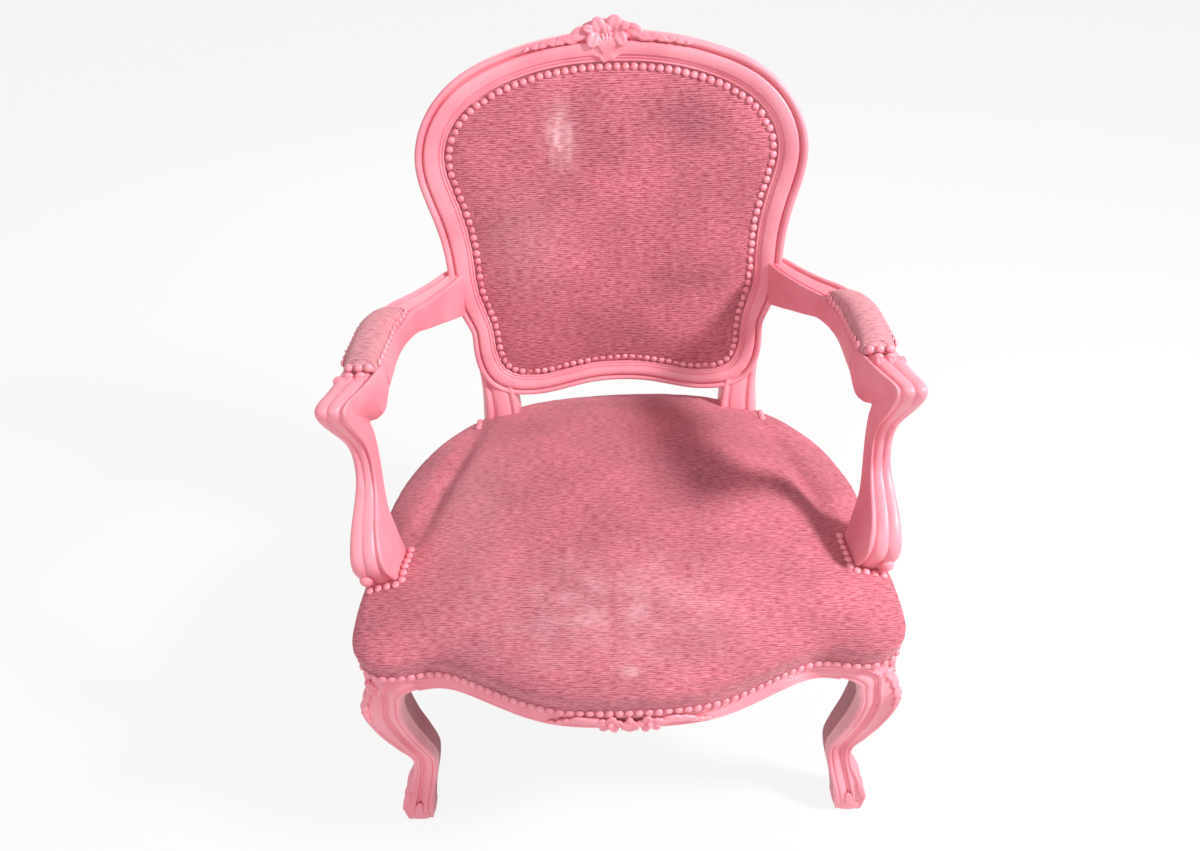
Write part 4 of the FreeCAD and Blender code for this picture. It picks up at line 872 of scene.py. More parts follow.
    def leg(self) -> bmesh.types.BMesh:
        """The right front leg with its corner of the frame, its ridge and its foot."""
        skin = Skin()
        skin.run(self.leg_strip(False))
        skin.run(self.leg_strip(True))
        corner = []
        for count in PLAN.loop.evenly(4.0, self.front_count, self.side_count):
            corner.append([PLAN.point(count, out, z) for out, z in (
                (1.0, self.moulding_top - 2.0), (0.6, self.moulding_top), (0.0, self.top - 1.5),
                (-1.5, self.top), (-self.rail_width, self.top), (-self.rail_width, self.bottom + 2.0))])
        skin.run(corner)
        ridge, radii = [], []
        for z in np.linspace(self.moulding_top - 1.0, 5.0, 70):
            ridge.append(self.face_point(1.6, float(z), 2.2, False))
            radii.append(3.0)
        add_bm(skin.bm, tube(ridge, radii, 12))
        skin.run(self.foot_pad())
        return skin.bm

    def foot_pad(self) -> Iterable[list[Vector]]:
        """Rings of the rounded pad under the leg."""
        for z, grow in self.foot_rows:
            at, width = self.leg_at(z)
            centre = at + Vector((-width / 2, width / 2, 0.0))
            half = width / 2 + grow
            yield [centre + Vector((
                half * math.copysign(abs(math.cos(turn)) ** SQUARENESS, math.cos(turn)),
                half * math.copysign(abs(math.sin(turn)) ** SQUARENESS, math.sin(turn)), 0.0))
                for turn in (math.tau * step / 40 for step in range(40))]

    def on_knee(self, a: float, z: float, out: float) -> Vector:
        """A place on the leg: a is positive on the front face and negative on the side face."""
        front = self.face_point(max(0.0, a), z, 1.2 - out, False)
        side = self.face_point(max(0.0, -a), z, 1.2 - out, True)
        return side.lerp(front, ease((a + 5.0) / 10.0))

    def knee_carving(self) -> Carving:
        """A flower over the knee's corner with a drop of buds, and the lobes of the foot."""
        carving = Carving(self.on_knee)
        petals = ((18.0, 307.0, 172.0, 1.0), (8.0, 315.5, 80.0, 2.4), (10.5, 295.0, 245.0, 1.6))
        buds = ((283.0, 19.0, 9.5), (270.0, 16.0, 8.0), (258.0, 13.0, 6.5), (248.0, 10.0, 5.0))
        for sign in (1.0, -1.0):
            for a, z, turn, level in petals:
                facing = turn if sign > 0.0 else 180.0 - turn
                carving.petal(sign * a, z, (15.0, 11.5, 4.6), facing, level, 0.05, 0.5, 12.0)
            carving.petal(sign * 9.0, 304.5, (6.5, 6.5, 4.6), 0.0, 3.6, 0.0)
            carving.petal(sign * 14.0, 326.0, (17.0, 12.0, 3.6), 90.0, 0.6, 0.1, 0.3)
            for z, length, width in buds:
                carving.petal(sign * 4.5, z, (length, width, 4.0), 270.0, 0.8, 0.7, 0.25)
        for a, turn in ((21.0, 262.0), (-21.0, 278.0)):
            carving.petal(a, 30.0, (28.0, 11.0, 3.4), turn, 1.0, -0.3, 0.3)
        carving.petal(3.0, 46.0, (34.0, 8.0, 2.6), 268.0, 1.0, 0.1, 0.3)
        return carving

    def on_front_rail(self, a: float, b: float, out: float) -> Vector:
        """A place on the front rail: a from the middle, b over the lower edge."""
        return PLAN.point(PLAN.count_where(0, a, -3.0, 3.0), out + 1.6, self.bottom + b)

    def rail_carving(self) -> Carving:
        """Two flowers, a small shell between them and leaves to each side."""
        carving = Carving(self.on_front_rail)
        for sign in (-1, 1):
            for number in range(5):
                turn = 90.0 + 72.0 * number + 12.0 * sign
                reach = math.radians(turn)
                carving.petal(sign * 21.0 + 8.2 * math.cos(reach), 12.5 + 7.4 * math.sin(reach),
                              (13.5, 10.5, 3.4), turn, 3.8, -0.15, 0.45, 14.0)
            carving.petal(sign * 21.0, 12.5, (7.6, 7.6, 4.0), 0.0, 6.4, 0.0)
            leaf = [(sign * (33.0 + 8.6 * step), 14.0 + 4.6 * math.sin(step * 0.75)) for step in range(7)]
            carving.spray(leaf, (12.5, 12.0, 11.0, 10.0, 8.5, 7.0, 5.5), 3.4)
        for step in range(-3, 4):
            carving.flute([(0.5 * step, 19.0, 3.0), (2.5 * step, 10.0 + abs(step), 6.0),
                           (2.9 * step, -1.5 + abs(step) * 1.4, 4.4)], 1.5, 0.8)
        carving.petal(0.0, 19.5, (9.0, 8.0, 3.6), 90.0, 3.6, 0.2)
        return carving

    def build(self) -> None:
        """Publishes the rails and the legs."""
        paint = MATERIALS.of(Finish.PAINT)
        count = len(PLAN.loop.points)
        front = self.rail(-self.front_count, self.front_count)
        publish(front, "front_rail", paint, Place("painted_beech", ("front_seat_rail",)))
        publish(self.rail(self.rear_count, count - self.rear_count), "rear_rail", paint,
                Place("painted_beech", ("rear_seat_rail",)))
        for name, sign in (("right", 1), ("left", -1)):
            side = self.rail(self.side_count, self.post_count)
            leg = self.leg()
            flower = self.knee_carving().bm
            if sign < 0:
                for bm in (side, leg, flower):
                    mirror(bm)
            publish(side, f"side_rail_{name}", paint, Place("painted_beech", (f"side_seat_rail_{name}",)))
            publish(leg, f"cabriole_leg_{name}", paint, Place("painted_beech", (f"front_leg_{name}",)))
            publish(flower, f"knee_carving_{name}", paint, Place("painted_beech"), fuse=CARVING_VOXEL,
                    smooth_rounds=1)
        publish(self.rail_carving().bm, "rail_carving", paint, Place("painted_beech"), fuse=CARVING_VOXEL,
                smooth_rounds=1)


# Back frame

@dataclass
class BackFrame:
    """The leaning, hollowed cartouche of the back with its posts and rear legs."""

    y: float = 197.0
    z: float = 430.0
    lean: float = 0.171
    hollow_radius: float = 1250.0
    half_width: float = 211.0
    low: float = 456.0
    height: float = 394.0
    depth: float = 26.0
    ledge: float = 12.0             # carries the canvas and the cover
    rebate: float = 4.0
    band_rise: float = 4.5          # the band's face over the sight line's, where the carving starts
    crest_joint: float = 10.45
    bottom_joint: float = 3.1
    post_depth: float = 44.0
    post_flare: float = 9.0         # how far the outer side opens towards the rear at that depth
    # The sight line's right half: shares of the half width and height, and the frame's width there
    shares: tuple[Row, ...] = (
        (0.00, 0.000, 27.5), (0.23, -0.008, 28.0), (0.44, -0.030, 28.0), (0.61, -0.034, 29.0),
        (0.75, -0.003, 33.0), (0.805, 0.062, 31.0), (0.82, 0.160, 29.0), (0.88, 0.285, 34.0),
        (0.895, 0.430, 36.0), (0.96, 0.625, 37.0), (1.00, 0.740, 36.0), (0.945, 0.830, 35.0),
        (0.80, 0.905, 35.0), (0.59, 0.956, 33.0), (0.31, 0.990, 33.0), (0.00, 1.000, 34.0))
    # Height, middle x, front y, width and depth of the rear leg and post
    post_rows: tuple[Row, ...] = (
        (0.0, 211.0, 274.0, 30.0, 33.0), (95.0, 198.0, 230.0, 33.0, 36.0),
        (200.0, 184.0, 187.0, 39.0, 41.0), (290.0, 174.5, 158.0, 47.5, 43.5),
        (345.0, 171.0, 154.0, 50.0, 43.5), (410.0, 171.5, 173.0, 45.0, 37.0),
        (455.0, 180.0, 189.0, 36.0, 31.0), (500.0, 187.0, 198.0, 22.0, 24.0))

    def __post_init__(self) -> None:
        """Fits the sight line."""
        half = [(x * self.half_width, self.low + z * self.height, width) for x, z, width in self.shares]
        rows = half + [(-x, z, width) for x, z, width in reversed(half[1:-1])]
        self.widths = [row[2] for row in rows]
        self.sight = Loop([(x, z) for x, z, _ in rows])
        length = math.hypot(1.0, self.lean)
        self.front = Vector((0.0, -1.0 / length, self.lean / length))

    def surface(self, x: float, z: float, level: float = 0.0) -> Vector:
        """A point of the back at a level over the sight line's face."""
        y = self.y + (z - self.z) * self.lean - x * x / (2 * self.hollow_radius)
        return Vector((x, y, z)) + self.front * level

    def width(self, count: float) -> float:
        """Width of the frame's face at a place."""
        index = math.floor(count) % len(self.widths)
        following = (index + 1) % len(self.widths)
        return lerp(self.widths[index], self.widths[following], count - math.floor(count))

    def across(self, count: float) -> Vector:
        """Direction outwards along the back's surface."""
        along, place = self.sight.direction(count), self.sight.at(count)
        out_x, out_z = along.y, -along.x
        return Vector((out_x, out_z * self.lean - place.x * out_x / self.hollow_radius, out_z))

    def profile(self, width: float) -> list[tuple[float, float]]:
        """The frame's moulding: two fillets, a broad band, a deep groove and a round outer bead."""
        bead = 0.125 * width
        shape = [(-self.ledge, self.rebate - self.depth), (-self.ledge, -self.rebate), (0.0, -self.rebate),
                 (0.0, 1.2), (0.5, 2.3), (1.5, 2.8), (2.5, 2.3), (3.0, 1.7), (3.6, 2.0), (4.1, 3.2),
                 (5.1, 3.8), (6.1, 3.3), (6.7, 2.7), (7.3, 3.2)]
        for share in (0.0, 0.15, 0.32, 0.5, 0.68, 0.85, 0.96):
            rise = 4.6 + 3.0 * math.sin(math.pi * (0.12 + 0.6 * share))
            shape.append((lerp(8.4, 0.655 * width, share), rise))
        shape += [(0.675 * width, 6.0), (0.69 * width, 4.0), (0.705 * width, 2.3), (0.725 * width, 1.9),
                  (0.742 * width, 2.6)]
        shape += [(width - bead - bead * math.cos(turn), 3.6 + bead * 1.05 * math.sin(turn))
                  for turn in (math.pi * step / 10 for step in range(11))]
        shape += [(width, 0.0), (width, 3.0 - self.depth), (width - 0.9, 0.9 - self.depth),
                  (width - 3.0, -self.depth), (0.22 * width, -self.depth),
                  (0.22 * width, self.rebate - self.depth)]
        return shape

    def section(self, count: float) -> list[Vector]:
        """The frame's section at a place along the sight line."""
        place, across = self.sight.at(count), self.across(count)
        origin = self.surface(place.x, place.y)
        return [origin + across * s + self.front * t for s, t in self.profile(self.width(count))]

    def run(self, start: float, end: float, pitch: float = 4.5) -> bmesh.types.BMesh:
        """A length of the frame."""
        skin = Skin()
        skin.run([self.section(count) for count in self.sight.evenly(pitch, start, end)])
        return skin.bm

    def post_ring(self, row: Row) -> list[Vector]:
        """Section of the post and rear leg: beads and grooves in front, and a flared outer side."""
        z, x, front_y, width, depth = row
        half, flare = width / 2, self.post_flare * depth / self.post_depth
        # Below the rails the moulding dies out into a plain leg
        raise_by = ease((z - 330.0) / 30.0)
        shape = [(-half, depth), (-half, depth * 0.5), (-half, 3.0), (-half * 0.96, 1.2), (-half * 0.86, 0.2),
                 (-half * 0.74, 0.5), (-half * 0.66, 1.6), (-half * 0.60, 3.0), (-half * 0.52, 3.0),
                 (-half * 0.46, 1.6), (-half * 0.36, 0.6), (-half * 0.1, 0.0), (half * 0.18, 0.3),
                 (half * 0.36, 1.2), (half * 0.44, 3.4), (half * 0.52, 4.0), (half * 0.58, 2.8),
                 (half * 0.66, 0.9), (half * 0.76, 0.3), (half * 0.88, 0.8), (half * 0.97, 2.4),
                 (half - 0.2 + flare * 0.1, 4.5), (half + flare * 0.5, depth * 0.55),
                 (half + flare, depth - 2.0), (half + flare - 2.0, depth)]
        ring = []
        for across, back in shape:
            back = back if back > depth * 0.4 else lerp(max(0.8, back * 0.35), back, raise_by)
            ring.append(Vector((x + across, front_y + back, z)))
        return ring

    def post(self, seat: SeatFrame) -> bmesh.types.BMesh:
        """The right post: rear leg, the block in the seat's frame, and the stile of the back."""
        skin = Skin()
        skin.run([self.post_ring(row) for row in fair(self.post_rows, 10)])
        skin.run([seat.rail_ring(count) for count in PLAN.loop.evenly(5.0, seat.post_count, seat.rear_count)])
        add_bm(skin.bm, self.run(self.bottom_joint, self.crest_joint))
        return skin.bm

    def on_crest(self, a: float, b: float, out: float) -> Vector:
        """A place on the crest: a from the middle to the viewer's right, b out from the sight line."""
        top = float(len(self.shares) - 1)
        low, high = top - 3.0, top + 3.0
        for _ in range(30):
            middle = (low + high) / 2
            low, high = (middle, high) if self.sight.at(middle).x > a else (low, middle)
        place, across = self.sight.at(low), self.across(low)
        return self.surface(place.x, place.y) + across * b + self.front * (out + self.band_rise)

    def crest_carving(self) -> Carving:
        """A cluster of petals over a fluted fan, with leaves along the outer bead."""
        carving = Carving(self.on_crest)
        petals = (
            (-9.0, 41.0, (20.0, 18.0, 4.6), 112.0, 3.0), (9.0, 42.0, (21.0, 20.0, 4.6), 66.0, 3.0),
            (20.0, 39.0, (14.0, 10.0, 4.4), 20.0, 5.2), (-20.5, 37.5, (14.0, 10.0, 4.4), 165.0, 5.2),
            (31.0, 34.5, (24.0, 16.0, 4.2), 340.0, 1.6), (-31.0, 33.0, (24.0, 16.0, 4.2), 200.0, 1.6),
            (16.0, 26.5, (20.0, 16.5, 4.6), 298.0, 4.4), (-16.0, 25.5, (20.0, 16.5, 4.6), 242.0, 4.4),
            (0.0, 36.0, (13.0, 11.0, 4.4), 90.0, 3.0))
        for a, b, size, turn, level in petals:
            carving.petal(a, b, size, turn, level, 0.05, 0.4, 10.0)
        carving.petal(0.0, 36.0, (66.0, 24.0, 6.0), 0.0, -3.5, 0.0)
        for step in range(-3, 4):
            carving.flute([(0.6 * step, 0.5, -1.5), (1.7 * step, 12.0, 2.2),
                           (3.4 * step, 24.0 - abs(step), 5.0),
                           (4.8 * step, 33.0 - 1.5 * abs(step), 3.6)], 1.9, 1.0)
        for sign in (-1, 1):
            carving.spray([(sign * 6.0, 5.0), (sign * 12.0, 9.5), (sign * 19.0, 12.5), (sign * 25.0, 12.0)],
                          (8.0, 8.0, 7.0, 5.0), -0.4)
            leaf = [(sign * (42.0 + 10.0 * step), 28.6 - 0.25 * step) for step in range(6)]
            carving.spray(leaf, (12.0, 10.5, 9.5, 8.5, 7.0, 5.5), 2.6)
        return carving

    def build(self, seat: SeatFrame) -> None:
        """Publishes the crest rail, the bottom rail and the posts."""
        paint = MATERIALS.of(Finish.PAINT)
        top = len(self.shares) - 1
        publish(self.run(self.crest_joint, 2 * top - self.crest_joint), "crest", paint,
                Place("painted_beech", ("crest_rail",)))
        publish(self.crest_carving().bm, "crest_carving", paint, Place("painted_beech"), fuse=CARVING_VOXEL,
                smooth_rounds=1)
        publish(self.run(-self.bottom_joint, self.bottom_joint), "back_lower_rail", paint,
                Place("painted_beech", ("back_bottom_rail",)))
        for name, sign in (("right", 1), ("left", -1)):
            post = self.post(seat)
            if sign < 0:
                mirror(post)
            publish(post, f"back_upright_{name}", paint, Place("painted_beech", (f"back_post_{name}",)))


# Arms

@dataclass
class Arms:
    """Arms, knuckles and the S-curved arm supports."""

    # Middle x, y and z, width and height, from inside the post forwards
    arm_rows: tuple[Row, ...] = (
        (212.0, 213.0, 573.0, 24.0, 58.0), (219.0, 204.0, 573.0, 30.0, 60.0),
        (231.0, 178.0, 578.0, 34.0, 52.0), (250.0, 138.0, 588.0, 39.0, 41.0),
        (270.0, 100.0, 597.0, 44.0, 33.0), (283.0, 40.0, 603.0, 47.0, 30.0),
        (284.0, -30.0, 603.0, 45.0, 36.0))
    # Shown edge (y, z), hidden edge (y, z), inner x, outer x, from the pad round the knuckle to the foot
    support_rows: tuple[Row, ...] = (
        (-30.0, 621.0, -32.0, 585.0, 262.0, 306.0), (-58.0, 623.0, -50.0, 568.0, 266.0, 309.0),
        (-90.0, 625.0, -56.0, 561.0, 274.0, 313.0), (-114.0, 627.0, -57.0, 558.5, 281.0, 317.0),
        (-124.0, 625.0, -57.0, 558.0, 283.5, 318.0), (-126.5, 619.0, -57.0, 558.0, 284.0, 318.0),
        (-122.0, 606.0, -56.0, 556.0, 285.0, 317.0), (-108.0, 583.0, -53.0, 552.0, 286.0, 315.0),
        (-82.0, 543.0, -44.5, 533.0, 287.5, 312.5), (-75.0, 512.0, -43.0, 512.0, 288.0, 312.0),
        (-88.0, 482.0, -50.0, 490.0, 287.0, 312.0), (-143.0, 449.0, -81.0, 450.0, 280.0, 314.0),
        (-162.0, 424.0, -92.0, 424.0, 273.0, 314.0), (-152.0, 390.0, -97.0, 388.0, 266.5, 312.0),
        (-140.0, 346.0, -92.0, 346.0, 264.0, 309.0))

    def arm_profile(self, w: float, h: float) -> list[tuple[float, float]]:
        """Arm's section: a bead on each upper edge, grooves beside them and a flat band between."""
        small, large = 0.085 * w, 0.115 * w
        shape = [(2.5, h), (0.7, h - 1.2), (0.0, h - 3.5), (0.0, h * 0.5), (0.0, small + 1.5)]
        shape += [(small - small * math.cos(turn), small + 0.6 - small * math.sin(turn))
                  for turn in (math.pi * step / 6 for step in range(7))]
        shape += [(2 * small + 0.5, small + 1.6), (2 * small + 1.6, small + 1.6), (2 * small + 2.4, 2.2),
                  (0.35 * w, 1.6), (0.5 * w, 1.4), (0.62 * w, 1.7), (w - 2 * large - 2.8, 2.4),
                  (w - 2 * large - 2.0, large + 1.8), (w - 2 * large - 0.8, large + 1.8)]
        shape += [(w - large - large * math.cos(turn), large - large * math.sin(turn))
                  for turn in (math.pi * step / 8 for step in range(9))]
        return shape + [(w, h * 0.5), (w, h - 3.5), (w - 0.7, h - 1.2), (w - 2.5, h)]

    def support_profile(self, w: float, h: float) -> list[tuple[float, float]]:
        """Support's section: a fine inner ridge, a deep groove, a convex band and a round outer bead."""
        shares = ((0.0, 4.2), (0.015, 2.4), (0.05, 1.3), (0.09, 1.4), (0.125, 2.8), (0.15, 4.6), (0.19, 4.8),
                  (0.22, 3.2), (0.26, 1.7), (0.33, 0.8), (0.42, 0.5), (0.5, 0.9), (0.555, 1.7), (0.58, 2.5),
                  (0.61, 1.8), (0.66, 0.7), (0.73, 0.1), (0.81, 0.2), (0.88, 1.0), (0.94, 2.4), (0.98, 4.4),
                  (1.0, 7.0))
        shape = [(1.5, h), (0.0, h - 1.5), (0.0, h * 0.5)]
        shape += [(share * w, deep) for share, deep in shares]
        return shape + [(w, h * 0.6), (w, h - 1.5), (w - 1.5, h)]

    def arm_ring(self, rows: Sequence[Row], index: int) -> list[Vector]:
        """Section of the arm at one of its rows, square to its run in plan."""
        before, after = rows[max(index - 1, 0)], rows[min(index + 1, len(rows) - 1)]
        side = Vector((before[1] - after[1], after[0] - before[0], 0)).normalized()
        x, y, z, width, height = rows[index]
        corner = Vector((x, y, z + height / 2)) - side * (width / 2)
        return [corner + side * s + Vector((0, 0, -t)) for s, t in self.arm_profile(width, height)]

    def support_ring(self, row: Row) -> list[Vector]:
        """Section of the knuckle and support."""
        shown, hidden = Vector((row[4], row[0], row[1])), Vector((row[4], row[2], row[3]))
        deep = (hidden - shown).normalized()
        return [shown + Vector((s, 0, 0)) + deep * t
                for s, t in self.support_profile(row[5] - row[4], (hidden - shown).length)]

    def arm(self) -> bmesh.types.BMesh:
        """The right arm up to its joint with the support, knuckle and all."""
        skin = Skin()
        rows = fair(self.arm_rows, 9)
        skin.run([self.arm_ring(rows, index) for index in range(len(rows))])
        skin.run([self.support_ring(row) for row in fair(self.support_rows[:8], 7)])
        return skin.bm

    def support(self) -> bmesh.types.BMesh:
        """The right arm support with two small roundels at its foot."""
        skin = Skin()
        skin.run([self.support_ring(row) for row in fair(self.support_rows, 9)[9 * 7:]])
        roundels = (((301.0, -157.0, 401.0), (7.8, 6.5, 8.2)), ((276.0, -148.0, 373.0), (6.0, 5.0, 9.0)))
        for middle, size in roundels:
            ball = bmesh.new()
            bmesh.ops.create_uvsphere(ball, u_segments=24, v_segments=16, radius=1.0)
            bmesh.ops.scale(ball, vec=Vector(size), verts=ball.verts)
            bmesh.ops.translate(ball, vec=Vector(middle), verts=ball.verts)
            add_bm(skin.bm, ball)
        return skin.bm

    def volute(self) -> bmesh.types.BMesh:
        """The carved line on the inner face of the knuckle, which rolls up into a scroll."""
        face_x, centre_y, centre_z, steps = 284.6, -89.0, 600.0, 48
        points = [Vector((face_x, y, z)) for y, z in fair(
            [(-36.0, 611.0), (-62.0, 613.0), (-88.0, 614.0), (-104.0, 606.0)], 6)]
        for step in range(1, steps + 1):
            share = step / steps
            turn = math.radians(158 + 520 * share)
            reach = lerp(15.5, 2.2, share ** 0.8)
            points.append(Vector((face_x, centre_y + reach * math.cos(turn),
                                  centre_z + reach * math.sin(turn))))
        return tube(points, [1.0] * len(points), 8)

    def scrolls(self) -> bmesh.types.BMesh:
        """Two small rolls across the arm in front of the pad, and a curl behind them."""
        carving = Carving(lambda a, b, out: Vector((a, b, 619.5 + out)))
        for a, turn in ((282.0, 262.0), (295.0, 270.0)):
            carving.petal(a, -66.0, (17.0, 11.0, 4.6), turn, 1.0, 0.25, 0.3, -6.0)
            carving.petal(a, -60.0, (7.5, 11.5, 4.6), turn, 3.2, 0.0)
        carving.petal(307.0, -64.0, (15.0, 9.0, 4.0), 280.0, 0.6, 0.3, 0.3, -6.0)
        return carving.bm

    def build(self) -> None:
        """Publishes arms and supports on both sides."""
        paint = MATERIALS.of(Finish.PAINT)
        for name, sign in (("right", 1), ("left", -1)):
            arm, support = self.arm(), self.support()
            add_bm(arm, self.volute())
            add_bm(arm, self.scrolls())
            if sign < 0:
                for bm in (arm, support):
                    mirror(bm)
            publish(arm, f"moulded_arm_{name}", paint, Place("painted_beech", (f"arm_{name}",)))
            publish(support, f"scrolled_support_{name}", paint,
                    Place("painted_beech", (f"arm_support_{name}",)))


# Upholstery

def weave_on(piece: bpy.types.Object, rule: Callable[[Vector], tuple[float, float, float]]) -> None:
    """Stores where each point lies in the cloth: metres along the ribs, across them, and its wear, painted
    shade and painted highlight.
    """
    attributes = piece.data.attributes
    attribute = attributes.get("weave") or attributes.new("weave", "FLOAT_VECTOR", "POINT")
    values: list[float] = []
    for vert in piece.data.vertices:
        values.extend(rule(vert.co))
    attribute.data.foreach_set("vector", values)


def patch(place: tuple[float, float], centre: tuple[float, float], reach: tuple[float, float]) -> float:
    """Strength of a soft oval patch of the cloth at a place: 1 in its middle, fading over its reach."""
    return math.exp(-(((place[0] - centre[0]) / reach[0]) ** 2 + ((place[1] - centre[1]) / reach[1]) ** 2))


def refine(piece: bpy.types.Object) -> None:
    """Subdivides a soft piece once and shades it smooth."""
    finer = piece.modifiers.new("finer", "SUBSURF")
    finer.levels = finer.render_levels = 1
    bake_modifiers(piece)
    piece.data.polygons.foreach_set("use_smooth", [True] * len(piece.data.polygons))


def swell(piece: bpy.types.Object, cap: float, pinned: Callable[[Vector], float]) -> None:
    """Lets cloth swell under pressure and keeps how far it moved within a cap.

    Args:
        piece: A closed mesh in metres, already remeshed.
        cap: How far a point may move, in metres.
        pinned: Weight of the hold at a point, from 0 to 1.
    """
    group = piece.vertex_groups.new(name="hold")
    for vert in piece.data.vertices:
        weight = pinned(vert.co)
        if weight > 0.0:
            group.add([vert.index], weight, "REPLACE")
    before = [vert.co.copy() for vert in piece.data.vertices]
    cloth = piece.modifiers.new("cloth", "CLOTH")
    cloth.settings.quality = 5
    cloth.settings.mass = 0.3
    cloth.settings.tension_stiffness = 25.0
    cloth.settings.compression_stiffness = 25.0
    cloth.settings.shear_stiffness = 12.0
    cloth.settings.bending_stiffness = 1.0
    cloth.settings.vertex_group_mass = "hold"
    cloth.settings.use_pressure = True
    cloth.settings.uniform_pressure_force = CLOTH_PRESSURE
    cloth.settings.effector_weights.gravity = 0.0
    cloth.collision_settings.use_collision = False
    frames = 20
    cloth.point_cache.frame_start, cloth.point_cache.frame_end = 1, frames
    scene = bpy.context.scene
    for number in range(1, frames + 1):
        scene.frame_set(number)
    mesh = evaluated_mesh(piece)
    moved = [vert.co.copy() for vert in mesh.vertices]
    bpy.data.meshes.remove(mesh)
    piece.modifiers.remove(cloth)
    piece.vertex_groups.remove(group)
    for vert, old, new in zip(piece.data.vertices, before, moved):
        shift = new - old
        if shift.length > cap:
            shift = shift.normalized() * cap
        vert.co = old + shift
    scene.frame_set(1)


def dome_nail(bm: bmesh.types.BMesh, foot: Vector, out: Vector, radius: float, height: float,
              sides: int = 12) -> None:
    """Adds one domed nail head on a foot, its axis along out."""
    head = bmesh.new()
    # A little more than half a ball, so that the rim lies in the cloth
    bmesh.ops.create_uvsphere(head, u_segments=sides, v_segments=8, radius=1.0)
    low = [vert for vert in head.verts if vert.co.z < -0.35]
    bmesh.ops.delete(head, geom=low, context="VERTS")
    bmesh.ops.holes_fill(head, edges=head.edges, sides=sides)
    bmesh.ops.scale(head, vec=Vector((radius, radius, height)), verts=head.verts)
    turn = out.to_track_quat("Z", "Y").to_matrix().to_4x4()
    bmesh.ops.transform(head, matrix=Matrix.Translation(foot + out * 0.35) @ turn, verts=head.verts)
    add_bm(bm, head)


def soft_skin(rings: Sequence[Sequence[Vector]]) -> bmesh.types.BMesh:
    """A closed soft body over rings, with a fan at each end."""
    skin = Skin()
    skin.run(rings, caps=False)
    bm = skin.bm
    bmesh.ops.holes_fill(bm, edges=bm.edges, sides=0)
    big = [face for face in bm.faces if len(face.verts) > 4]
    bmesh.ops.poke(bm, faces=big)
    return bm


def close_middle(skin: Skin) -> None:
    """Fans the last ring of a sheet to its middle."""
    filled = bmesh.ops.contextual_create(skin.bm, geom=skin.edges)["faces"]
    bmesh.ops.poke(skin.bm, faces=filled)


@dataclass
class SeatCloths:
    """The flat cloths of the seat: hessian on the webbing, and the black lining under the frame."""

    middle_y: float = -40.0
    lining_sag: float = 2.5
    leg_notch: tuple[float, float] = (238.0, -163.0)
    post_notch: tuple[float, float] = (138.0, 133.0)

    def clear(self, x: float, y: float) -> tuple[float, float]:
        """Moves a point of the edge clear of the legs and posts."""
        side, sign = abs(x), math.copysign(1.0, x)
        for notch_x, notch_y, way in ((*self.leg_notch, -1.0), (*self.post_notch, 1.0)):
            past = (y - notch_y) * way
            if side > notch_x and past > 0.0:
                side, y = (notch_x, y) if side - notch_x < past else (side, notch_y)
        return side * sign, y

    def sheet(self, node: str, name: str, sag: float, notched: bool, finish: Finish, slot: str) -> None:
        """Publishes one cloth where the frame has it."""
        low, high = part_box(node)
        z, inset = (low.z + high.z) / 2 / MM, PLAN.half_width - high.x / MM
        skin = Skin()
        rings = []
        edge = [PLAN.point(count, -inset, z) for count in PLAN.loop.evenly(8.0)[:-1]]
        for share in SHEET_SHARES:
            ring = []
            for point in edge:
                x, y = self.clear(point.x, point.y) if notched else (point.x, point.y)
                ring.append(Vector((x * share, lerp(self.middle_y, y, share), z - sag * (1.0 - share ** 2))))
            rings.append(ring)
        skin.run(rings, caps=False)
        close_middle(skin)
        piece = publish(skin.bm, name, MATERIALS.of(finish), Place(slot, (node,)), crease=SOFT_CREASE)
        weave_on(piece, lambda at: (at.x, at.y, 0.0))

    def build(self) -> None:
        """Publishes both cloths."""
        self.sheet("seat_hessian", "seat_scrim", 0.0, False, Finish.SCRIM, "hessian")
        self.sheet("bottom_cloth", "bottom_lining", self.lining_sag, True, Finish.LINING, "black_cloth")


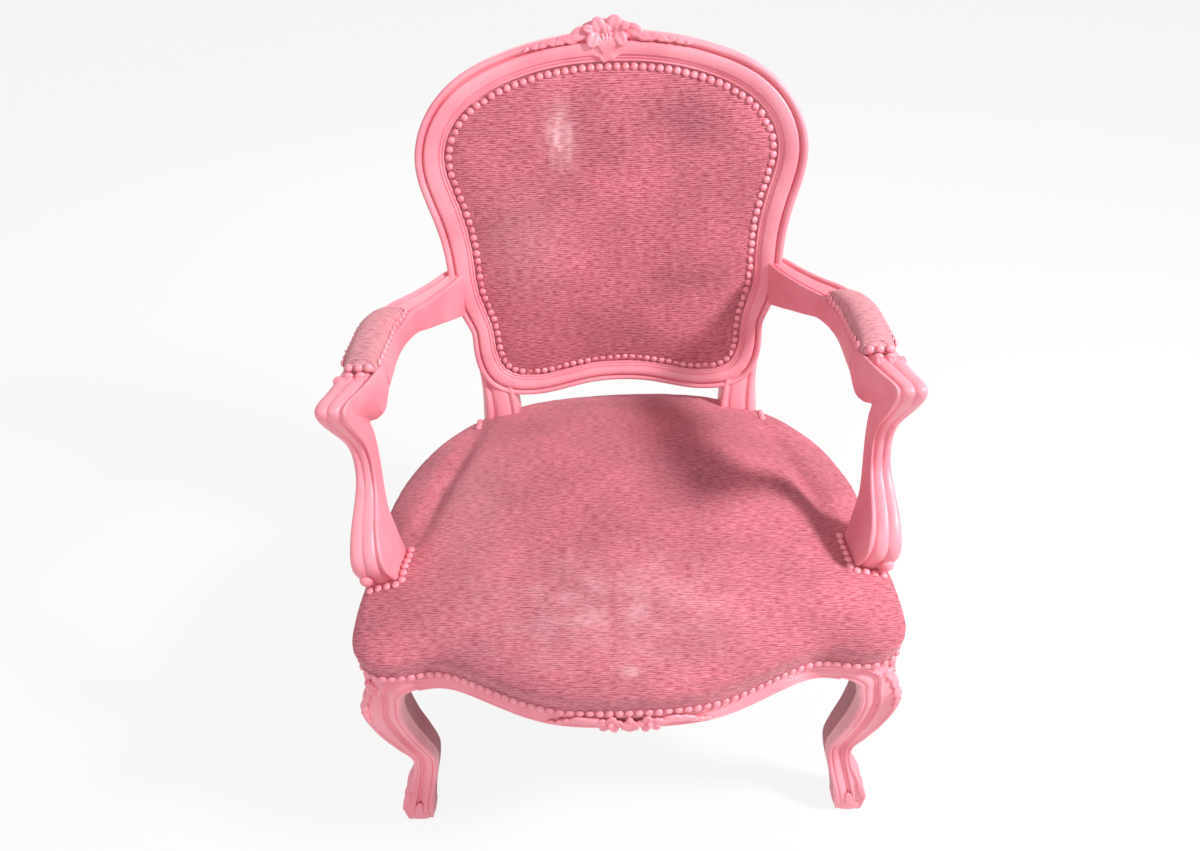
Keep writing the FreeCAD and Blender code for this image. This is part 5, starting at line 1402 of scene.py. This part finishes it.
@dataclass
class SeatUpholstery:
    """The crowned seat in chenille over its stuffing."""

    rail_top: float = 352.0
    hem: float = 336.5
    crown: float = 432.0
    middle_y: float = -40.0
    rounding: float = 1.5
    # The cloth is drawn down along a line from each arm support to the post behind it
    valley_start: tuple[float, float] = (262.0, -110.0)
    valley_end: tuple[float, float] = (196.0, 148.0)
    valley_depth: float = 11.0
    valley_width: float = 15.0
    stuffing_inset: float = 16.0
    stuffing_foot: float = 358.0
    # Share of the rise, growth past the plan and share of the way to the crown
    rows: tuple[Row, ...] = (
        (0.00, 3.4, 0.0), (0.10, 6.0, 0.0), (0.20, 7.6, 0.0), (0.29, 6.6, 0.004), (0.38, 2.6, 0.02),
        (0.47, 0.4, 0.07), (0.55, 0.0, 0.14), (0.65, 0.0, 0.24), (0.75, 0.0, 0.35), (0.84, 0.0, 0.48),
        (0.92, 0.0, 0.62), (0.975, 0.0, 0.78), (1.0, 0.0, 0.92))

    def outline(self, z: float, growth: float, share: float, steps: int, inset: float = 0.0) -> list[Vector]:
        """The plan at one height, grown, then drawn a share of the way to the crown."""
        middle_y, half_depth = (PLAN.front_y + PLAN.rear_y) / 2, (PLAN.rear_y - PLAN.front_y) / 2
        roundness = min(1.0, share * self.rounding)
        points = []
        for index in range(steps):
            count = len(PLAN.loop.points) * index / steps
            at = PLAN.point(count, growth - inset, z)
            angle = math.atan2((at.y - middle_y) / half_depth, at.x / PLAN.half_width)
            x = lerp(at.x, PLAN.half_width * math.cos(angle), roundness)
            y = lerp(at.y, middle_y + half_depth * math.sin(angle), roundness)
            points.append(Vector((x * (1 - share), lerp(y, self.middle_y, share), z)))
        return points

    def body(self, inset: float, foot_z: float, steps: int = 132) -> bmesh.types.BMesh:
        """The crowned seat as a closed body, an inset inside the shown cloth."""
        rise = self.crown - self.rail_top
        rings = [self.outline(foot_z, 1.5, 0.10, steps, inset),
                 self.outline(foot_z, 2.9, 0.0, steps, inset)]
        for height, growth, share in self.rows:
            rings.append(self.outline(self.rail_top + rise * height - inset, growth, share, steps, inset))
        return soft_skin(rings)

    def valley(self, x: float, y: float) -> float:
        """How far the cloth is drawn down along the line from a support to a post, in mm."""
        start, end = Vector(self.valley_start), Vector(self.valley_end)
        place = Vector((abs(x), y))
        along = end - start
        share = min(1.0, max(0.0, (place - start).dot(along) / along.length_squared))
        nearest = start + along * share
        gap = (place - nearest).length
        deepest = self.valley_depth * math.exp(-(gap / self.valley_width) ** 2)
        return deepest * (0.55 + 0.45 * math.cos(math.pi * (share - 0.45) * 1.3))

    def weave(self, at: Vector) -> tuple[float, float, float]:
        """Ribs run left to right and roll over the front and rear edges."""
        x, y, z = at.x / MM, at.y / MM, at.z / MM
        across = y - (z - self.crown) * math.tanh(y / 110.0)
        ragged = 0.5 + 1.6 * max(0.0, noise.noise(Vector((x / 26.0, y / 20.0, 1.0))) + 0.3)
        wear_and_painted_light = 0.5 * ragged * patch((x, y), (-20.0, -215.0), (130.0, 60.0))
        wear_and_painted_light += 1.1 * patch((x, y), (4.0, -284.0), (9.0, 6.0))
        wear_and_painted_light += 0.35 * patch((x, y), (-190.0, -60.0), (60.0, 120.0))
        # Painted shadow: a darker patch right of the middle, where the right arm's shadow falls across the
        # seat
        wear_and_painted_light -= 0.55 * patch((x, y), (70.0, -40.0), (70.0, 60.0))
        return x * MM, across * MM, wear_and_painted_light

    def build(self) -> bpy.types.Object:
        """Publishes the cover and its stuffing."""
        cover = publish(self.body(0.0, self.hem), "seat_cloth", MATERIALS.of(Finish.CLOTH),
                        Place("ribbed_cloth", ("seat_cover",)), crease=SOFT_CREASE, fuse=4.5)
        swell(cover, 0.006, lambda at: 1.0 if at.z < 0.362 else 0.35)
        for vert in cover.data.vertices:
            x, y, z = (value / MM for value in vert.co)
            top = ease((z - 356.0) / 25.0)
            drop = self.valley(x, y) * top
            ripple = noise.noise(Vector((x / 60.0, y / 45.0, z / 60.0))) * 2.2 * top
            vert.co.z += (ripple - drop) * MM
        refine(cover)
        weave_on(cover, self.weave)
        stuffing = publish(self.body(self.stuffing_inset, self.stuffing_foot, 66), "seat_stuffing_pad",
                           MATERIALS.of(Finish.HESSIAN), Place("stuffing", ("seat_stuffing",)),
                           crease=SOFT_CREASE)
        return cover


@dataclass
class BackUpholstery:
    """The bulged back panel in chenille, its stuffing and canvas, and the flat outer cover."""

    back: BackFrame
    crown: float = 18.0
    roll: float = 4.0
    centre_z: float = 655.0
    edge: float = 1.2

    def ring(self, share: float, level: float, inset: float, steps: int) -> list[Vector]:
        """A ring of the panel at a share of the way out."""
        points = []
        for index in range(steps):
            count = len(self.back.widths) * index / steps
            at, along = self.back.sight.at(count), self.back.sight.direction(count)
            x, z = at.x - along.y * inset, at.y + along.x * inset
            points.append(self.back.surface(x * share, lerp(self.centre_z, z, share), level))
        return points

    def level(self, share: float) -> float:
        """Rise of the shown cloth."""
        return self.crown * (1.0 - share ** self.roll)

    def panel(self, inset: float, sink: float, rear: float, steps: int = 120) -> bmesh.types.BMesh:
        """A closed panel between the shown cloth, sunk a little, and a rear level."""
        shares = (0.12, 0.25, 0.38, 0.5, 0.61, 0.72, 0.80, 0.87, 0.92, 0.96, 0.985, 1.0)
        rings = [self.ring(share, self.level(share) - sink, inset, steps) for share in shares]
        rings += [self.ring(share, rear, inset, steps) for share in reversed(shares)]
        return soft_skin(rings)

    def weave(self, at: Vector) -> tuple[float, float, float]:
        """Ribs run left to right."""
        x, z = at.x / MM, at.z / MM
        ragged = 0.6 + 1.3 * max(0.0, noise.noise(Vector((x / 9.0, z / 16.0, 3.0))) + 0.25)
        # Painted highlight: a pale spot on the upper left of the panel
        wear_and_painted_light = 1.5 * ragged * patch((x, z), (-62.0, 770.0), (15.0, 32.0))
        wear_and_painted_light += 0.35 * patch((x, z), (-120.0, 640.0), (60.0, 60.0))
        # A darker patch at the upper right
        wear_and_painted_light -= 0.9 * patch((x, z), (108.0, 782.0), (48.0, 34.0))
        # Painted shadow of the right arm on the lower right of the panel
        wear_and_painted_light -= 0.6 * patch((x, z), (85.0, 585.0), (42.0, 26.0))
        return at.x, at.z, wear_and_painted_light

    def build(self) -> tuple[bpy.types.Object, bpy.types.Object]:
        """Publishes the panel, what lies in it and the outer cover."""
        cover = publish(self.panel(self.edge, 0.0, -2.2), "back_cloth", MATERIALS.of(Finish.CLOTH),
                        Place("ribbed_cloth", ("back_cover",)), crease=SOFT_CREASE, fuse=4.0)
        hold = self.back

        def held(at: Vector) -> float:
            """Full hold near the nails and behind, loose in the middle."""
            face = hold.surface(at.x / MM, at.z / MM)
            return 1.0 if (Vector(at) / MM - face).dot(hold.front) < 4.0 else 0.3

        swell(cover, 0.005, held)
        refine(cover)
        weave_on(cover, self.weave)
        outer = self.sheet("outer_back_cloth", -23.8, 4.0, Finish.BACKING,
                           Place("ribbed_cloth", ("outer_back_cover",)))
        self.sheet("back_scrim", -4.6, -6.0, Finish.SCRIM, Place("hessian", ("back_canvas",)))
        stuffing = publish(self.panel(self.edge + 16.0, 7.0, -2.6, 60), "back_stuffing_pad",
                           MATERIALS.of(Finish.HESSIAN), Place("stuffing", ("back_stuffing",)),
                           crease=SOFT_CREASE)
        return cover, outer

    def sheet(self, name: str, level: float, growth: float, finish: Finish, place: Place) -> bpy.types.Object:
        """Publishes a cloth stretched over the back at a level, its edge grown past the sight line."""
        skin = Skin()
        skin.run([self.ring(share, level, -growth, 120) for share in SHEET_SHARES], caps=False)
        close_middle(skin)
        piece = publish(skin.bm, name, MATERIALS.of(finish), place, crease=SOFT_CREASE)
        weave_on(piece, lambda at: (at.x, at.z, 0.0))
        reach = 1.0 - min(share for _, share, _ in self.back.shares)
        return piece


@dataclass
class ArmPads:
    """The small pads on the arms in ribbed cloth, and the loose threads of the worn one."""

    arms: Arms
    rear_y: float = 90.0
    front_y: float = -54.0
    width: float = 41.0
    height: float = 20.0
    lift: float = 0.6
    # Share of the length from the rear, then shares of the width and the height
    shape: tuple[Row, ...] = (
        (0.0, 0.40, 0.10), (0.02, 0.60, 0.30), (0.06, 0.80, 0.55), (0.14, 0.95, 0.80), (0.28, 1.0, 0.95),
        (0.5, 1.0, 1.0), (0.72, 1.0, 0.96), (0.86, 0.99, 0.82), (0.94, 0.96, 0.62), (0.985, 0.88, 0.38),
        (1.0, 0.78, 0.16))

    def arm_top(self, y: float) -> tuple[float, float]:
        """Middle and top height of the wooden arm at a depth."""
        rows = self.arms.arm_rows
        depths = [row[1] for row in reversed(rows)]
        return (float(np.interp(y, depths, [row[0] for row in reversed(rows)])),
                float(np.interp(y, depths, [row[2] + row[4] / 2 for row in reversed(rows)])))

    def ring(self, place: float, wide: float, full: float, inset: float) -> list[Vector]:
        """A domed section across the arm."""
        y = lerp(self.rear_y, self.front_y, place)
        x, top = self.arm_top(y)
        half = self.width / 2 * wide - inset
        height = self.height * full - inset
        ring = []
        for step in range(25):
            turn = math.pi * step / 24
            across = -math.cos(turn)
            rise = math.sin(turn) ** SQUARENESS
            ring.append(Vector((x + half * across, y, top + self.lift + max(0.3, height * rise))))
        ring += [Vector((x + half * 0.6, y, top - 0.4)), Vector((x, y, top - 0.4)),
                 Vector((x - half * 0.6, y, top - 0.4))]
        return ring

    def build(self) -> dict[str, bpy.types.Object]:
        """Publishes both pads."""
        pads = {}
        for name, sign in (("right", 1), ("left", -1)):
            bm = soft_skin([self.ring(*row, 0.0) for row in fair(self.shape, 3)])
            if sign < 0:
                mirror(bm)
            pad = publish(bm, f"arm_pad_{name}", MATERIALS.of(Finish.CLOTH),
                          Place("ribbed_cloth", (f"arm_pad_cover_{name}", f"arm_pad_stuffing_{name}")),
                          crease=SOFT_CREASE, fuse=2.5, smooth_rounds=2)
            swell(pad, 0.002, lambda at: 0.4)
            weave_on(pad, lambda at: (at.x * sign, at.y - at.z * 0.4, 0.75))
            pads[name] = pad
        return pads

    def threads(self) -> None:
        """Publishes the loose threads at the worn outer side of the left pad."""
        bm = bmesh.new()
        for number in range(7):
            y = 34.0 - 9.0 * number
            points = []
            for step in range(12):
                share = step / 11
                drift = noise.noise_vector(Vector((number * 3.7, share * 2.1, 0.4))) * 9.0 * share
                points.append(Vector((-306.0 - 9.0 * share, y, 611.0 - 4.0 * share * share)) + drift)
            add_bm(bm, tube(points, [0.45] * len(points), 6))
        publish(bm, "frayed_threads", MATERIALS.of(Finish.CLOTH), Place("ribbed_cloth"))


# Nails

@dataclass
class Nails:
    """All domed, painted heads, each where the frame has it and seated on the cloth that it holds."""

    radius: float = 4.8
    height: float = 3.5
    tack_radius: float = 2.7
    tack_height: float = 1.4

    @staticmethod
    def middles(node: str) -> list[Vector]:
        """Middles of a CAD node's separate heads, in mm."""
        bm = bmesh.new()
        bm.from_mesh(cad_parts[node].data)
        bmesh.ops.remove_doubles(bm, verts=bm.verts, dist=1e-6)
        seen: set[bmesh.types.BMVert] = set()
        found = []
        for first in bm.verts:
            if first in seen:
                continue
            seen.add(first)
            group, queue = [], [first]
            while queue:
                vert = queue.pop()
                group.append(vert.co.copy())
                beside = [edge.other_vert(vert) for edge in vert.link_edges]
                fresh = [other for other in beside if other not in seen]
                seen.update(fresh)
                queue.extend(dict.fromkeys(fresh))
            found.append(sum(group, Vector()) / len(group) / MM)
        bm.free()
        return sorted(found, key=lambda place: tuple(place))

    def row(self, node: str, cloth: bpy.types.Object, name: str, tacks: bool = False) -> None:
        """Publishes the heads of one CAD node on a cloth."""
        bm = bmesh.new()
        radius, height = (self.tack_radius, self.tack_height) if tacks else (self.radius, self.height)
        for middle in self.middles(node):
            hit, point, normal, _ = cloth.closest_point_on_mesh(middle * MM)
            if hit:
                dome_nail(bm, Vector(point) / MM, Vector(normal), radius, height)
        publish(bm, name, MATERIALS.of(Finish.NAIL), Place("painted_nails", (node,)))

    def build(self, seat: bpy.types.Object, panel: bpy.types.Object, outer: bpy.types.Object,
              pads: dict[str, bpy.types.Object]) -> None:
        """Publishes every row."""
        self.row("seat_nails", seat, "seat_nail_row")
        self.row("back_nails", panel, "back_nail_row")
        self.row("outer_back_tacks", outer, "outer_back_tack_row", tacks=True)
        for side, pad in pads.items():
            self.row(f"arm_pad_nails_{side}", pad, f"pad_nail_row_{side}")
            self.row(f"arm_support_nails_{side}", seat, f"support_nail_row_{side}")
            self.row(f"back_post_nails_{side}", seat, f"post_nail_row_{side}")


# Stage

class Stage:
    """Camera, soft light, pale floor and white surroundings."""

    def white_to_camera(self, tree: bpy.types.NodeTree, own: bpy.types.NodeSocket, strength: float,
                        kind: str) -> bpy.types.NodeSocket:
        """Mixes in plain white for what the camera and reflections see directly."""
        path = add_node(tree, "ShaderNodeLightPath")
        seen = add_node(tree, "ShaderNodeMath", {0: path.outputs["Is Camera Ray"],
                                                 1: path.outputs["Is Glossy Ray"]}, operation="MAXIMUM")
        seen = add_node(tree, "ShaderNodeMath", {0: seen.outputs[0], 1: path.outputs["Is Transmission Ray"]},
                        operation="MAXIMUM")
        share = add_node(tree, "ShaderNodeMath", {0: seen.outputs[0], 1: strength}, operation="MULTIPLY")
        white = add_node(tree, kind, {"Color": (1.0, 1.0, 1.0, 1.0), "Strength": 1.0})
        return add_node(tree, "ShaderNodeMixShader", {0: share.outputs[0], 1: own,
                                                      2: white.outputs[0]}).outputs[0]

    def build(self) -> None:
        """Sets the whole stage."""
        scene = bpy.context.scene
        scene.view_settings.view_transform = "Standard"
        world = bpy.data.worlds.new("surroundings")
        scene.world = world
        world.use_nodes = True
        tree = world.node_tree
        tree.nodes.clear()
        output = add_node(tree, "ShaderNodeOutputWorld")
        sky = add_node(tree, "ShaderNodeBackground", {"Color": (1.0, 0.97, 0.96, 1.0), "Strength": 0.50})
        tree.links.new(self.white_to_camera(tree, sky.outputs[0], 1.0, "ShaderNodeBackground"),
                       output.inputs["Surface"])
        floor = object_from(self.floor_mesh(), "floor")
        material, tree, output = new_material("pale_floor")
        own = add_node(tree, "ShaderNodeBsdfDiffuse", {"Color": (0.82, 0.80, 0.79, 1.0)})
        tree.links.new(self.white_to_camera(tree, own.outputs[0], 0.86, "ShaderNodeEmission"),
                       output.inputs["Surface"])
        floor.data.materials.append(material)
        self.lamp("key", (1.75, -0.55, 1.95), (0.0, -0.05, 0.42), 62.0, 0.32)
        self.lamp("front_fill", (-0.7, -2.2, 1.6), (0.0, 0.0, 0.45), 16.0, 1.6)
        self.lamp("rear_fill", (-0.6, 2.2, 1.5), (0.0, 0.0, 0.45), 12.0, 1.6)
        self.camera()

    @staticmethod
    def floor_mesh() -> bmesh.types.BMesh:
        """A wide square at the height of the feet."""
        bm = bmesh.new()
        bmesh.ops.create_grid(bm, x_segments=2, y_segments=2, size=9.0)
        return bm

    @staticmethod
    def lamp(name: str, place: Sequence[float], aim: Sequence[float], power: float, size: float) -> None:
        """A square area lamp that looks at a point."""
        data = bpy.data.lights.new(name, "AREA")
        data.energy = power
        data.size = size
        lamp = bpy.data.objects.new(name, data)
        lamp.location = place
        lamp.rotation_euler = (Vector(aim) - Vector(place)).to_track_quat("-Z", "Y").to_euler()
        bpy.context.scene.collection.objects.link(lamp)

    @staticmethod
    def camera() -> None:
        """The photograph's view: high, close, a little turned, with a wide lens."""
        # Fitted to the photograph: place in mm, turns in radians about Z, X and Z
        place = Vector((1.82, -853.42, 1161.67))
        heading, pitch, roll = 0.03065, 0.90824, -0.05314
        data = bpy.data.cameras.new("camera")
        data.sensor_width = 36.0
        data.lens = 26.39
        data.clip_start = 0.01
        camera = bpy.data.objects.new("camera", data)
        bpy.context.scene.collection.objects.link(camera)
        turn = (Matrix.Rotation(heading, 4, "Z") @ Matrix.Rotation(pitch, 4, "X")
                @ Matrix.Rotation(roll, 4, "Z"))
        camera.matrix_world = Matrix.Translation(place * MM) @ turn
        bpy.context.scene.camera = camera


class CadFinishes:
    """Gives the CAD nodes that stay inside the chair their own finishes."""

    # The first word found in a node's name counts; all other nodes are painted wood
    rules: tuple[tuple[str, Finish], ...] = (
        ("screws", Finish.STEEL), ("corner_block", Finish.BEECH), ("pegs", Finish.BEECH),
        ("webbing", Finish.HESSIAN))

    def build(self) -> None:
        """Assigns a material to every CAD node."""
        for name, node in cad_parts.items():
            finish = next((finish for word, finish in self.rules if word in name), Finish.PAINT)
            node.data.materials.clear()
            node.data.materials.append(MATERIALS.of(finish))


def main() -> None:
    """Builds the chair and its stage."""
    logging.basicConfig(level=logging.INFO, format="%(name)s: %(message)s")
    CadFinishes().build()
    seat_frame = SeatFrame()
    seat_frame.build()
    back = BackFrame()
    back.build(seat_frame)
    arms = Arms()
    arms.build()
    seat = SeatUpholstery().build()
    SeatCloths().build()
    panel, outer = BackUpholstery(back).build()
    arm_pads = ArmPads(arms)
    pads = arm_pads.build()
    arm_pads.threads()
    Nails().build(seat, panel, outer, pads)
    Stage().build()


if __name__ == "__main__":
    main()
